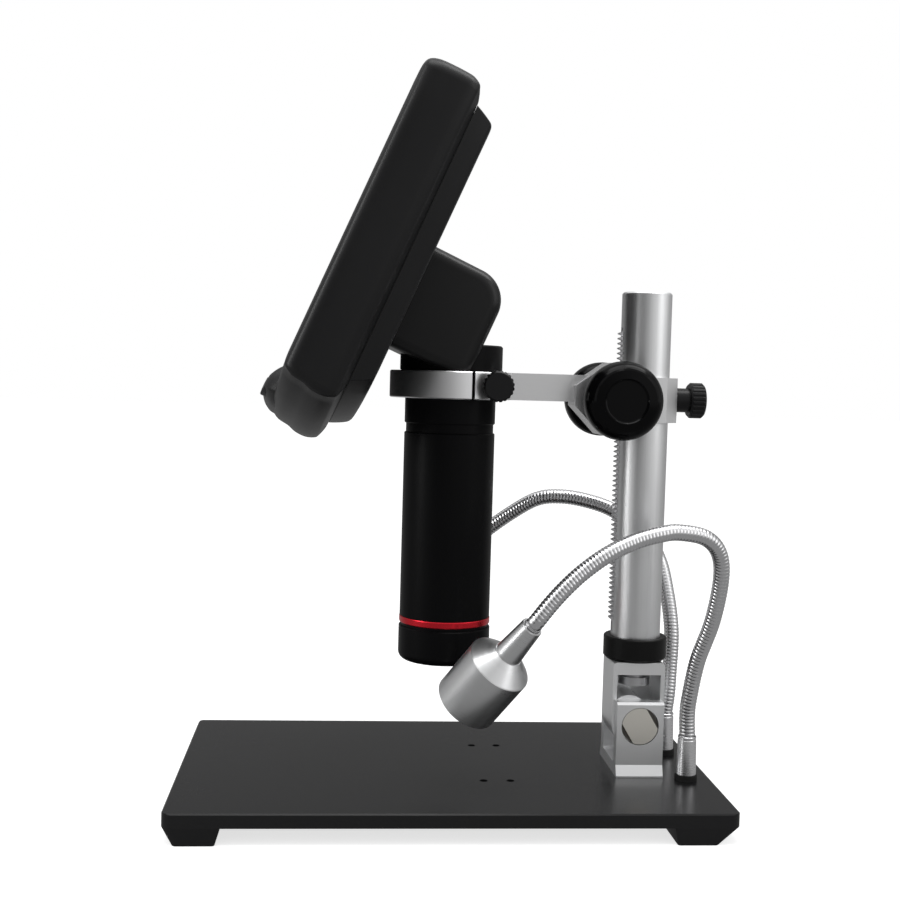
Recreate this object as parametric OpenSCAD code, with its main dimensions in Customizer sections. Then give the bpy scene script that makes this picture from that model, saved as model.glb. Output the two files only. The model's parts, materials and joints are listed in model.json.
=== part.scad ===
/* [Base] */
// Length of the base plate
base_l = 200; // [170:1:260]
// Depth of the base plate
base_w = 120; // [100:1:160]
// Thickness of the base plate
base_t = 5.1; // [4.5:0.1:8]
// Radius of the plate's vertical corners
base_corner_r = 3.5; // [1:0.5:8]
// Chamfer along the plate's top edge
base_chamfer = 0.5; // [0.2:0.1:1]
// Distance that the plate's centre lies behind the column axis
base_offset_y = 3.5; // [0:0.5:10]
// Height of the corner feet
foot_h = 6; // [4:0.5:12]
// Distance from the plate's side to the inner edge of a foot at the plate
foot_top = 21; // [16:0.5:26]
// Width of a foot on the table
foot_bottom = 13.6; // [9:0.1:16]
// Distance that a foot's outer sides lean in towards the table
foot_inset = 4.8; // [2:0.1:6]
// Diameter of the four stage holes
deck_hole_d = 3; // [2:0.1:5]
// Distance between the stage holes along the plate
deck_pitch_x = 10; // [6:0.5:20]
// Distance between the stage holes across the plate
deck_pitch_y = 46; // [30:1:70]
// Distance from the plate's centre to the middle of the stage holes
deck_x = 18.3; // [0:0.1:30]

/* [Column] */
// Distance from the column axis to the plate's right-hand edge
column_inset = 27.1; // [24:0.1:40]
// Diameter of the round column
column_d = 19; // [16:0.5:24]
// Height of the column's top above the table
column_top = 194.4; // [185:0.2:240]
// Radial clearance of sliding and turning fits
run_gap = 0.05; // [0.02:0.01:0.1]
// Gear module of the rack and the pinion
gear_m = 0.6; // [0.5:0.05:0.8]
// Number of pinion teeth
pinion_n = 8; // [8:1:10]
// Width of the rack bar
rack_w = 4; // [3:0.2:5]
// Height at which the rack bar starts
rack_z0 = 64; // [62:1:80]
// Height at which the rack teeth end
rack_top = 180; // [170:0.5:182]

/* [Tilt hinge] */
// Length of the base bracket along the plate
clevis_l = 18; // [14:0.5:24]
// Height of the base bracket
clevis_h = 28.3; // [24:0.1:34]
// Thickness of the bracket's ears and web
clevis_t = 4.4; // [3.6:0.1:6]
// Width of the block that turns between the ears
foot_block_w = 19; // [16:0.5:24]
// Length of the block that turns between the ears
foot_block_l = 20; // [18:0.5:24]
// Height of the tilt pin above the table
pin_z = 30.2; // [29:0.1:34]
// Diameter of the tilt pin's head
pin_head_d = 13.8; // [10:0.1:14]
// Distance between the two flats on the pin's head
pin_flats = 9; // [7:0.1:12]
// Diameter of the tilt pin's shank
pin_d = 8; // [6:0.5:9]
// Direction of the flats from horizontal
flats_angle = 59; // [0:1:90]
// Wall of the black column collar
collar_wall = 2.6; // [2:0.1:4]
// Height of the collar
collar_h = 9; // [6:0.1:14]

/* [Focus carriage] */
// Height of the pinion axis at rest
pinion_z = 153.2; // [140:0.1:160]
// Wall of the carriage block in front of and behind the column
carriage_wall = 2.5; // [2:0.1:6]
// Height of the carriage block
carriage_h = 16.9; // [12:0.1:24]
// Wall of the carriage block to the right of the column
carriage_side = 1.8; // [1.6:0.1:6]
// Chamfer on the block's right-hand corners
carriage_chamfer = 5.2; // [2:0.1:6]
// Reach of the pinion housing from the pinion axis towards the arm
boss_reach = 15.5; // [14:0.1:20]
// Width of the pinion housing
boss_w = 16; // [14:0.5:20]
// Diameter of the pinion shaft
shaft_d = 6; // [5.6:0.1:6.2]
// Largest diameter of the focus knobs
knob_d = 29.2; // [24:0.2:36]
// Distance between the outer faces of the two knobs
knob_span = 56; // [50:1:70]
// Diameter of the lock screw's head
lock_head_d = 13.6; // [10:0.2:18]

/* [Arm and ring] */
// Distance from the column axis to the optical axis
arm_reach = 74.4; // [66:0.1:90]
// Thickness of the arm
arm_t = 10; // [6:0.5:12]
// Height of the arm and the ring
arm_h = 10.2; // [8:0.1:14]
// Wall of the holding ring
ring_wall = 5.95; // [5:0.05:9]
// Width of the slit in the ring
slit_w = 1.2; // [0.6:0.1:3]
// Diameter of the ring screw's head
ring_head_d = 11.5; // [8:0.5:16]

/* [Optical head] */
// Diameter of the barrel
barrel_d = 34.3; // [30:0.1:37]
// Distance that the cap stands out over the barrel
cap_lip = 2.2; // [1:0.1:4]
// Height of the cap above the ring
cap_h = 9.9; // [7:0.1:14]
// Length of the turning focus sleeve
sleeve_l = 69.8; // [50:0.1:80]
// Length of the nose cap
nose_l = 14.4; // [10:0.1:20]
// Radius of the nose cap's lower edge
nose_corner_r = 3; // [1:0.1:4]
// Height of the groove above the focus sleeve
groove_h = 3.3; // [1:0.1:6]

/* [Screen] */
// Backward lean of the screen from vertical
lcd_lean = 23.56; // [0:0.1:45]
// Width of the screen housing
lcd_w = 146; // [130:1:180]
// Height of the housing above its reference point
lcd_up = 70.5; // [60:0.5:90]
// Depth of the housing's chin below its reference point at mid-width
lcd_down = 62; // [56:1:80]
// Rise of the lower edge from mid-width to the corners
chin_rise = 18; // [8:1:20]
// Thickness of the front frame
frame_t = 22.8; // [20:0.1:26]
// Thickness of the frame and the rear cover together
lcd_t = 30.2; // [27:0.1:36]
// Width of the screen opening
window_w = 121; // [100:1:124]
// Height of the screen opening
window_h = 76; // [60:1:78]
// Wall of the neck on each side of the cap
neck_side_wall = 1.2; // [0.8:0.1:3]
// Reach of the neck behind the screen's face
neck_reach = 62; // [56:0.5:70]
// Diameter of the push buttons
button_d = 6.8; // [5:0.1:8]
// Distance between the push buttons
button_pitch = 14; // [10:0.5:16]

/* [Lamps] */
// Distance between the two lamp sockets
lamp_pitch = 34; // [32:1:44]
// Distance from the lamp sockets to the plate's right-hand edge
lamp_inset = 9.7; // [7:0.1:12]
// Diameter of the gooseneck tubes
goose_d = 6; // [5:0.1:6.4]
// Diameter of a lamp shell
lamp_d = 24; // [18:0.5:28]
// Length of a lamp shell's straight part
lamp_l = 22.4; // [14:0.1:26]
// Length of a lamp shell's conical back
lamp_cone = 5.4; // [4:0.1:12]
// Length of the ferrule that joins a lamp to its gooseneck
lamp_neck = 15.2; // [10:0.1:20]

/* [Hidden] */
$fn = 72;
eps = 0.01;
fine = 32;
// Clearance between parts that only lie next to each other
seat_gap = 0.02;

column_r = column_d / 2;

// Places along the plate, measured from the middle of the base
deck_z = foot_h + base_t;
column_x = base_l / 2 - column_inset;
lamp_x = base_l / 2 - lamp_inset;
barrel_x = column_x - arm_reach;

// Tilt hinge
foot_block_reach = max(foot_block_l, column_d + 1) / 2;
ear_gap = foot_block_w + 0.2;
clevis_w = ear_gap + 2 * clevis_t;
clevis_top = deck_z + clevis_h;
pin_head_t = 3.2;
pin_recess = 0.3;
pin_head_gap = 0.25;
knuckle_r = 7.5;
knuckle_shift = 3.6;
knuckle_rise = 3.45;
window_wall = 1.6;
window_top_wall = 4.7;
foot_corner_r = 1.5;
foot_top_z = pin_z + 23.4;
collar_z0 = foot_top_z;
collar_z1 = collar_z0 + collar_h;
bolt_head_r = 6;
bolt_head_t = 3.1;
bolt_washer_r = 4.4;
bolt_washer_t = 1.9;
bolt_r = 1.7;

// Rack and pinion
rack_pitch = PI * gear_m;
pinion_r = gear_m * pinion_n / 2;
rack_tip = 1.1;
rack_depth = 4.5;
pitch_x = column_x - column_r - rack_tip + gear_m;
pinion_x = pitch_x - pinion_r;
rack_tooth_count = floor((rack_top - rack_z0 - 4) / rack_pitch);
tooth_addendum = gear_m;
tooth_dedendum = 1.25 * gear_m;
backlash = 0.1;

// Carriage, arm and ring
arm_top = pinion_z + 9.2;
arm_bottom = arm_top - arm_h;
carriage_top = pinion_z + 8.9;
carriage_bottom = carriage_top - carriage_h;
carriage_w = column_d + 2 * carriage_wall;
carriage_reach = column_r + carriage_side;
bush_r = 4.5;
bush_l = 4;
tenon_l = 5.8;
boss_rise = 14.1;
boss_drop = 13.2;
lock_z = pinion_z + 0.6;
ring_screw_r = 2.5;
ring_shoulder_r = 3.6;
slit_dx = 6.5;
ring_r = barrel_d / 2 + ring_wall;
ring_screw_dx = ring_r - 7.6;

// Optical head
barrel_r = barrel_d / 2;
cap_r = barrel_r + cap_lip;
cap_z0 = arm_top + 0.1;
cap_z1 = cap_z0 + cap_h - 0.1;
groove_top = arm_bottom - 9.5;
groove_bottom = groove_top - groove_h;
sleeve_z0 = groove_bottom - sleeve_l - 0.1;
core_r = barrel_r - 2.55;
cell_r = core_r - 1.6;
lens_r = cell_r - 2.9;
spigot_r = barrel_r - 1.95;
head_bore_r = spigot_r - 5.2;
red_h = 2.4;
nose_step = 1.3;
red_z0 = sleeve_z0 - red_h;
nose_z1 = red_z0 - nose_step;
nose_z0 = red_z0 - nose_l;
nose_r = barrel_r + 0.25;
window_r = spigot_r - 3.2;

// Screen housing, in its own frame: x is depth behind the face, z runs up the face
lcd_dx = -45.26;
lcd_dz = 27.7;
lcd_x = barrel_x + lcd_dx;
lcd_z = cap_z1 + lcd_dz;
window_mid = 12;
face_d = 0.9;
panel_d = 4;
panel_t = 3.5;
board_d = 14;
board_t = 1.6;
key_z = 11.8 - lcd_down;
key_board_d = 8;
chin_proud = 3.2;
button_proud = 0.3;
button_floor = 2.6;
button_travel = 0.6;
neck_low = 18.4;
neck_high = 21.2;
neck_corner_r = 12;
neck_w = 2 * (cap_r + neck_side_wall);

// Lamps: middle of each rim and the direction from the rim to the gooseneck
socket_z0 = deck_z + 1.9;
socket_z1 = deck_z + 16.7;
socket_depth = 3;
// Clearance round a gooseneck's end in its socket
goose_gap = 0.15;
lamp_len = lamp_l + lamp_cone + lamp_neck;
front_rim = [lamp_x - 85.2, -28, deck_z + 31.6];
front_dir = [0.468, -0.479, 0.742];
rear_rim = [lamp_x - 91, 29.5, deck_z + 46.9];
rear_dir = [0.40, 0.45, 0.80];
// Points that each gooseneck passes, from its socket to its lamp, relative to the socket's foot
front_bends = [
    [-0.3, 0, 24], [-0.1, -1, 31], [1.7, -4, 46], [5.3, -9, 62], [6.7, -13, 78], [4.7, -16, 88],
    [-1.5, -19, 94], [-12, -21.3, 96], [-19.3, -23, 95.3], [-28.3, -25, 93], [-38.3, -28, 88.8],
    [-47.3, -30, 82.8], [-54, -31.7, 77], [-59.5, -32.6, 71]
];
rear_bends = [
    [0.8, 0, 24], [1.4, 1, 32], [2.2, 3, 49], [0.6, 7, 65], [-2.3, 11.5, 78], [-9.5, 15, 88.5],
    [-20, 17.5, 96], [-30, 20, 99.5], [-41, 23, 101], [-51, 26, 99.5], [-62, 29.5, 92.5]
];

// ---------- general shapes ----------

// A solid of revolution about Z from [radius, height] points
module turned(points) {
    rotate_extrude() polygon(points);
}

// A straight tube about Z between two heights
module ring_z(r_out, r_in, z0, z1) {
    translate([0, 0, z0]) difference() {
        cylinder(r = r_out, h = z1 - z0);
        translate([0, 0, -eps]) cylinder(r = r_in, h = z1 - z0 + 2 * eps);
    }
}

// A rod about Y between two places
module rod_y(r, y0, y1) {
    translate([0, y1, 0]) rotate([90, 0, 0]) cylinder(r = r, h = y1 - y0);
}

// A box between two corners
module block(low, high) {
    translate(low) cube(high - low);
}

// A flat outline in X and Z, given its thickness along Y
module slab_y(thickness) {
    rotate([90, 0, 0]) linear_extrude(thickness, center = true) children();
}

// A flat outline in Y and Z, given its length along X
module slab_x(length) {
    rotate([90, 0, 90]) linear_extrude(length, center = true) children();
}

// Points of an arc
function arc(centre, r, a0, a1, steps = 8) =
    [for (i = [0:steps]) centre + r * [cos(a0 + (a1 - a0) * i / steps), sin(a0 + (a1 - a0) * i / steps)]];

// A screw along Z: its head starts at the origin and its shank runs up
module screw(head_r, head_t, shank_r, length) {
    difference() {
        union() {
            cylinder(r1 = head_r, r2 = shank_r, h = head_t);
            cylinder(r = shank_r, h = length);
        }
        translate([0, 0, -eps]) cylinder(r = shank_r * 0.6, h = head_t * 0.8, $fn = 6);
    }
}

// The space that a countersunk screw needs
module screw_hole(head_r, head_t, shank_r, length) {
    translate([0, 0, -eps]) cylinder(r1 = head_r + seat_gap, r2 = shank_r + seat_gap, h = head_t + eps);
    cylinder(r = shank_r + seat_gap, h = length + 0.3);
}

// ---------- swept goosenecks ----------

// A point of a smooth curve through four points
function bend(a, b, c, d, t) =
    0.5 * (2 * b + (c - a) * t + (2 * a - 5 * b + 4 * c - d) * t * t + (3 * b - a - 3 * c + d) * t * t * t);

// A smooth line through all the points
function smooth(p, steps) = concat(
    [for (i = [0:len(p) - 2]) for (s = [0:steps - 1])
        bend(p[max(i - 1, 0)], p[i], p[i + 1], p[min(i + 2, len(p) - 1)], s / steps)],
    [p[len(p) - 1]]
);

function unit(v) = v / norm(v);

// Direction of a line at one of its points
function heading(p, i) = unit(p[min(i + 1, len(p) - 1)] - p[max(i - 1, 0)]);

// A closed tube along a line
module tube_along(line, r, sides = 10) {
    rings = len(line);
    points = [for (i = [0:rings - 1])
        let (t = heading(line, i), a = unit(cross(t, [0, 1, 0])), b = cross(t, a))
        for (k = [0:sides - 1]) line[i] + r * (cos(360 * k / sides) * a + sin(360 * k / sides) * b)];
    walls = [for (i = [0:rings - 2]) for (k = [0:sides - 1])
        [i * sides + k, i * sides + (k + 1) % sides, (i + 1) * sides + (k + 1) % sides, (i + 1) * sides + k]];
    start = [[for (k = [sides - 1:-1:0]) k]];
    end = [[for (k = [0:sides - 1]) (rings - 1) * sides + k]];
    polyhedron(points, concat(walls, start, end));
}

// The whole line of a gooseneck, from inside its socket to inside its lamp ferrule
function goose_line(side_y, bends, rim, dir) = let (
    foot = [lamp_x, side_y, deck_z],
    low = socket_z1 - socket_depth + seat_gap - deck_z,
    tip = rim + (lamp_len - socket_depth + seat_gap) * unit(dir)
) smooth(concat(
    [foot + [0, 0, low], foot + [0, 0, low + 1.5], foot + [0, 0, low + socket_depth]],
    [for (b = bends) foot + b],
    [tip + (socket_depth + 3) * unit(dir), tip + socket_depth * unit(dir), tip + 1.5 * unit(dir), tip]
), 3);

// ---------- base ----------

module plate_outline() {
    x = base_l / 2 - base_corner_r;
    y = base_w / 2 - base_corner_r;
    polygon(concat(
        arc([x, y], base_corner_r, 0, 90), arc([-x, y], base_corner_r, 90, 180),
        arc([-x, -y], base_corner_r, 180, 270), arc([x, -y], base_corner_r, 270, 360)
    ));
}

// The side view of a plate whose top edges are chamfered
module chamfered_side(length) {
    polygon([
        [-length / 2, 0], [length / 2, 0], [length / 2, base_t - base_chamfer],
        [length / 2 - base_chamfer, base_t], [base_chamfer - length / 2, base_t],
        [-length / 2, base_t - base_chamfer]
    ]);
}

module at_deck_holes() {
    for (sx = [-1, 1]) for (sy = [-1, 1])
        translate([deck_x + sx * deck_pitch_x / 2, base_offset_y + sy * deck_pitch_y / 2, 0]) children();
}

module at_feet() {
    for (sx = [-1, 1]) for (sy = [-1, 1])
        translate([sx * base_l / 2, base_offset_y + sy * base_w / 2, 0]) mirror([sx > 0 ? 1 : 0, 0, 0])
            mirror([0, sy > 0 ? 1 : 0, 0]) children();
}

foot_screw_in = foot_inset + foot_bottom / 2;
foot_screw_r = 1.5;
foot_screw_head = 2.9;
foot_screw_l = foot_h + 3;

module base_plate() {
    color("#2b2b2b") difference() {
        intersection() {
            translate([0, base_offset_y, foot_h]) linear_extrude(base_t) plate_outline();
            translate([0, base_offset_y, foot_h]) slab_y(base_w + 2) chamfered_side(base_l);
            translate([0, base_offset_y, foot_h]) slab_x(base_l + 2) chamfered_side(base_w);
        }
        at_deck_holes() translate([0, 0, foot_h - eps]) cylinder(d = deck_hole_d, h = base_t + 2 * eps, $fn = fine);
        at_feet() translate([foot_screw_in, foot_screw_in, 0])
            cylinder(r = foot_screw_r + seat_gap, h = foot_screw_l + 0.3, $fn = fine);
        for (sy = [-1, 1]) translate([lamp_x, sy * lamp_pitch / 2, foot_h - eps])
            cylinder(r = stud_r + run_gap, h = base_t + 2 * eps, $fn = fine);
        at_bracket_screws() screw_hole(bracket_head_r, bracket_head_t, bracket_screw_r, base_t + 4);
    }
}

// One corner foot, drawn from its outer corner inwards
module foot_side() {
    polygon([[foot_inset, 0], [foot_inset + foot_bottom, 0], [foot_top, foot_h], [0, foot_h]]);
}

module base_feet() {
    color("#1c1c1c") at_feet() difference() {
        intersection() {
            translate([0, foot_top / 2, 0]) slab_y(foot_top + 2) foot_side();
            translate([foot_top / 2, 0, 0]) slab_x(foot_top + 2) foot_side();
            linear_extrude(foot_h) polygon(concat(
                arc([base_corner_r, base_corner_r], base_corner_r, 180, 270),
                [[foot_top, 0], [foot_top, foot_top], [0, foot_top]]
            ));
        }
        translate([foot_screw_in, foot_screw_in, 1])
            screw_hole(foot_screw_head, 1.6, foot_screw_r, foot_h, $fn = fine);
        translate([foot_screw_in, foot_screw_in, -eps]) cylinder(r = foot_screw_head + seat_gap, h = 1 + 2 * eps);
    }
}

module foot_screws() {
    color("silver") at_feet() translate([foot_screw_in, foot_screw_in, 1])
        screw(foot_screw_head, 1.6, foot_screw_r, foot_screw_l - 1, $fn = fine);
}

bracket_head_r = 4;
bracket_head_t = 2.2;
bracket_screw_r = 2;
bracket_screw_dx = 5.5;

module at_bracket_screws() {
    for (s = [-1, 1]) translate([column_x + s * bracket_screw_dx, 0, foot_h]) children();
}

module bracket_screws() {
    color("silver") at_bracket_screws()
        screw(bracket_head_r, bracket_head_t, bracket_screw_r, base_t + 3.4, $fn = fine);
}

// Cross-section of the base bracket: a web, two ears and a slightly proud foot flange
module clevis_profile() {
    w = clevis_w / 2;
    g = ear_gap / 2;
    flange = 1.5;
    difference() {
        polygon([
            [-w - flange, 0], [w + flange, 0], [w + flange, 0.5], [w, clevis_t],
            [w, clevis_h - 1], [w - 0.6, clevis_h], [-w + 0.6, clevis_h], [-w, clevis_h - 1],
            [-w, clevis_t], [-w - flange, 0.5]
        ]);
        polygon(concat(
            [[g, clevis_h + 1], [-g, clevis_h + 1]],
            arc([-g + 1, clevis_t + 1], 1, 180, 270, 4), arc([g - 1, clevis_t + 1], 1, 270, 360, 4)
        ));
    }
}

module clevis_bracket() {
    color("#c8cacc") difference() {
        translate([column_x, 0, deck_z]) slab_x(clevis_l) clevis_profile();
        translate([column_x, 0, pin_z]) {
            rod_y(pin_d / 2 + run_gap, -clevis_w, clevis_w);
            for (s = [0, 1]) mirror([0, s, 0])
                rod_y(pin_head_d / 2 + pin_head_gap, -clevis_w, -clevis_w / 2 + pin_head_t);
        }
        at_bracket_screws() cylinder(r = bracket_screw_r + seat_gap, h = base_t + 3.4 + 0.3, $fn = fine);
    }
}

// The flats that are milled on the outer end of the pin's head and the nut
module pin_flat_cuts() {
    rotate([0, flats_angle, 0]) for (s = [-1, 1])
        translate([0, -clevis_w / 2, s * (pin_flats / 2 + pin_head_d / 2)])
            cube([2 * pin_head_d, 2 * 2.1, pin_head_d], center = true);
}

module tilt_pin() {
    y0 = -clevis_w / 2;
    color("#b9ab9c") translate([column_x, 0, pin_z]) {
        difference() {
            rod_y(pin_head_d / 2, y0 + pin_recess, y0 + pin_head_t);
            pin_flat_cuts();
        }
        rod_y(pin_d / 2, y0 + pin_head_t - eps, clevis_w / 2 - 0.8);
    }
}

module tilt_nut() {
    color("#b9ab9c") translate([column_x, 0, pin_z]) mirror([0, 1, 0]) difference() {
        rod_y(pin_head_d / 2, -clevis_w / 2 + pin_recess, -clevis_w / 2 + pin_head_t);
        rod_y(pin_d / 2 + seat_gap, -clevis_w, 0);
        pin_flat_cuts();
    }
}

// ---------- lamps ----------

stud_r = 2.5;
nut_h = 2.4;
grommet_r = 4.2;
socket_low_r = 3.75;
socket_high_r = 3.45;

module at_sockets() {
    for (sy = [-1, 1]) translate([lamp_x, sy * lamp_pitch / 2, 0]) children();
}

module lamp_grommets() {
    color("#161616") at_sockets() ring_z(grommet_r, stud_r + seat_gap, deck_z, socket_z0, $fn = fine);
}

module lamp_base_nuts() {
    color("silver") at_sockets() translate([0, 0, foot_h - nut_h]) difference() {
        cylinder(r = 4.6, h = nut_h, $fn = 6);
        translate([0, 0, -eps]) cylinder(r = stud_r + seat_gap, h = nut_h + 2 * eps, $fn = fine);
    }
}

// The metal foot of a gooseneck with its threaded stud
module lamp_socket(side) {
    bore = goose_d / 2 + goose_gap;
    color("#bfc1c3") translate([lamp_x, side * lamp_pitch / 2, 0]) turned([
        [1.2, foot_h - nut_h - 0.6], [stud_r, foot_h - nut_h - 0.6], [stud_r, socket_z0],
        [socket_low_r - 0.3, socket_z0], [socket_low_r, socket_z0 + 0.3], [socket_high_r, socket_z1 - 1.5],
        [socket_high_r - 0.25, socket_z1 - 1.3], [socket_high_r - 0.25, socket_z1 - 0.9],
        [socket_high_r, socket_z1 - 0.7], [socket_high_r, socket_z1 - 0.2], [socket_high_r - 0.2, socket_z1],
        [bore, socket_z1], [bore, socket_z1 - socket_depth], [1.2, socket_z1 - socket_depth]
    ]);
}

module front_gooseneck() {
    color("#a9abad") tube_along(goose_line(-lamp_pitch / 2, front_bends, front_rim, front_dir), goose_d / 2);
}

module rear_gooseneck() {
    color("#a9abad") tube_along(goose_line(lamp_pitch / 2, rear_bends, rear_rim, rear_dir), goose_d / 2);
}

// Puts a shape that is drawn up Z from a lamp's rim on that lamp
module on_lamp(rim, dir) {
    translate(rim) rotate([0, acos(dir.z / norm(dir)), atan2(dir.y, dir.x)]) children();
}

module lamp_ferrule(rim, dir) {
    z0 = lamp_l + lamp_cone;
    bore = goose_d / 2 + goose_gap;
    color("#b7b9bb") on_lamp(rim, dir) turned([
        [1.8, z0], [5, z0], [5, z0 + 0.8], [3.95, lamp_len - 0.3], [3.7, lamp_len], [bore, lamp_len],
        [bore, lamp_len - socket_depth], [1.8, lamp_len - socket_depth]
    ]);
}

lens_seat_r = lamp_d / 2 - 1.2;
lens_d0 = 1.7;
lens_d1 = 3.5;
led_board_d = 14;

module lamp_shell(rim, dir) {
    r = lamp_d / 2;
    color("#c4c6c8") on_lamp(rim, dir) turned([
        [lens_seat_r, 0], [r - 0.4, 0], [r, 0.4], [r, lamp_l - 0.3], [r - 0.3, lamp_l],
        [5.3, lamp_l + lamp_cone], [1.8, lamp_l + lamp_cone], [1.8, led_board_d], [lens_seat_r - 1, led_board_d],
        [lens_seat_r - 1, lens_d1], [lens_seat_r, lens_d1]
    ]);
}

module lamp_lens(rim, dir) {
    r = lens_seat_r - 0.05;
    on_lamp(rim, dir)
        turned([[0, lens_d0 - 0.9], [r * 0.5, lens_d0 - 0.6], [r, lens_d0], [r, lens_d1], [0, lens_d1]]);
}

module lamp_lenses() {
    color("#e8eef2") {
        lamp_lens(front_rim, front_dir);
        lamp_lens(rear_rim, rear_dir);
    }
}

module lamp_led_board(rim, dir) {
    on_lamp(rim, dir) turned([
        [0, led_board_d - 3], [1.8, led_board_d - 2.6], [1.8, led_board_d - 1.6],
        [lens_seat_r - 1.1, led_board_d - 1.6], [lens_seat_r - 1.1, led_board_d], [0, led_board_d]
    ]);
}

module lamp_led_boards() {
    color("#f2efe0") {
        lamp_led_board(front_rim, front_dir);
        lamp_led_board(rear_rim, rear_dir);
    }
}

// ---------- column ----------

// Side view of the block under the column, rounded about the tilt pin
module foot_block_outline() {
    r = foot_block_reach;
    top = foot_top_z - pin_z - foot_corner_r;
    polygon(concat(
        arc([0, 0], r, 180, 360, 24), arc([r - foot_corner_r, top], foot_corner_r, 0, 90, 4),
        arc([foot_corner_r - r, top], foot_corner_r, 90, 180, 4)
    ));
}

module column_foot() {
    half = foot_block_reach - window_wall;
    back = foot_block_w / 2 - 3;
    color("#c8cacc") translate([column_x, 0, pin_z]) difference() {
        slab_y(foot_block_w) foot_block_outline();
        // The pocket that opens to the front, over a rounded knuckle
        translate([0, (back - foot_block_w / 2 - 1) / 2, 0]) slab_y(back + foot_block_w / 2 + 1) difference() {
            polygon([
                [-half, 3], [half, 3], [half, foot_top_z - pin_z - window_top_wall],
                [-half, foot_top_z - pin_z - window_top_wall]
            ]);
            translate([-knuckle_shift, knuckle_rise]) circle(r = knuckle_r);
            translate([0, -eps]) circle(r = pin_d / 2 + 1.5);
        }
        rod_y(pin_d / 2 + run_gap, -foot_block_w, foot_block_w);
        translate([0, -0.5, 0]) cylinder(r = bolt_r + seat_gap, h = 2 * foot_top_z, $fn = fine);
    }
}

bolt_head_top = foot_top_z - window_top_wall - bolt_washer_t;

module column_bolt() {
    color("#8d8f91") translate([column_x, -0.5, 0]) {
        translate([0, 0, bolt_head_top - bolt_head_t]) cylinder(r = bolt_head_r, h = bolt_head_t);
        translate([0, 0, bolt_head_top - eps]) cylinder(r = bolt_washer_r, h = bolt_washer_t - seat_gap, $fn = fine);
        translate([0, 0, bolt_head_top - eps]) cylinder(r = bolt_r, h = foot_top_z + 8 - bolt_head_top, $fn = fine);
    }
}

module column_collar() {
    r = column_r + collar_wall;
    color("#141414") translate([column_x, 0, 0]) turned([
        [column_r + seat_gap, collar_z0], [r - 1.2, collar_z0], [r, collar_z0 + 1.2], [r, collar_z1 - 0.4],
        [r - 0.4, collar_z1], [column_r + seat_gap, collar_z1]
    ]);
}

module column_rod() {
    r = column_r;
    color("#cfd1d3") translate([column_x, 0, 0]) difference() {
        turned([[0, foot_top_z], [r, foot_top_z], [r, column_top - 0.6], [r - 0.6, column_top], [0, column_top]]);
        block([-r - 1, -rack_w / 2 - seat_gap, rack_z0], [rack_depth - r, rack_w / 2 + seat_gap, rack_top + 1]);
        translate([0, -0.5, foot_top_z - eps]) cylinder(r = bolt_r + seat_gap, h = 8.5, $fn = fine);
        at_rack_screws() rotate([0, 90, 0]) cylinder(r = rack_screw_r + seat_gap, h = rack_screw_l + 0.3, $fn = fine);
    }
}

rack_screw_r = 1;
rack_screw_l = 8;
rack_screw_z = [rack_z0 + 2, rack_top - 0.9];

module at_rack_screws() {
    for (z = rack_screw_z) translate([-column_r, 0, z]) children();
}

// The teeth as seen from the front: pointing to -X, with flanks at 20 degrees
function tooth_half(depth) = rack_pitch / 4 - backlash / 2 + depth * tan(20);

module rack_outline() {
    tip_x = pitch_x - column_x - tooth_addendum;
    root_x = pitch_x - column_x + tooth_dedendum;
    back_x = rack_depth - column_r;
    tip = tooth_half(-tooth_addendum);
    root = tooth_half(tooth_dedendum);
    count = floor(rack_tooth_count);
    polygon(concat(
        [[back_x, rack_z0], [root_x, rack_z0]],
        [for (i = [0:count - 1]) let (z = rack_mesh_z + (i - rack_below) * rack_pitch)
            each [[root_x, z - root], [tip_x, z - tip], [tip_x, z + tip], [root_x, z + root]]],
        [[root_x, rack_top + 1 - seat_gap], [back_x, rack_top + 1 - seat_gap]]
    ));
}

// A tooth space of the rack lies level with the pinion axis at rest
rack_mesh_z = pinion_z + rack_pitch / 2;
rack_below = floor((rack_mesh_z - rack_z0 - 4) / rack_pitch);

module rack_bar() {
    color("#b4b6b8") translate([column_x, 0, 0]) difference() {
        slab_y(rack_w) rack_outline();
        at_rack_screws() rotate([0, 90, 0]) {
            translate([0, 0, -1.5]) cylinder(r = 1.7, h = 2.9, $fn = fine);
            cylinder(r = rack_screw_r + seat_gap, h = rack_depth + 1, $fn = fine);
        }
    }
}

module rack_screws() {
    color("#777777") translate([column_x, 0, 0]) at_rack_screws() rotate([0, 90, 0]) {
        translate([0, 0, 0.4]) cylinder(r = 1.6, h = 1, $fn = fine);
        translate([0, 0, 1]) cylinder(r = rack_screw_r, h = rack_screw_l - 1, $fn = fine);
    }
}

// ---------- focus carriage ----------

module carriage_outline() {
    x0 = pinion_x - column_x;
    x1 = carriage_reach;
    y = carriage_w / 2;
    c = carriage_chamfer;
    polygon([[x0, -y], [x1 - c, -y], [x1, c - y], [x1, y - c], [x1 - c, y], [x0, y]]);
}

// Side view of the pinion housing: a block whose corners are cut away towards the arm
module boss_outline() {
    polygon([
        [-boss_reach, -2.4], [10.2 - boss_reach, -boss_drop], [5.3, -boss_drop], [10.5, -8], [10.5, 8.5],
        [2.6, boss_rise], [-2.6, boss_rise], [-boss_reach, 5.1]
    ]);
}

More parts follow.
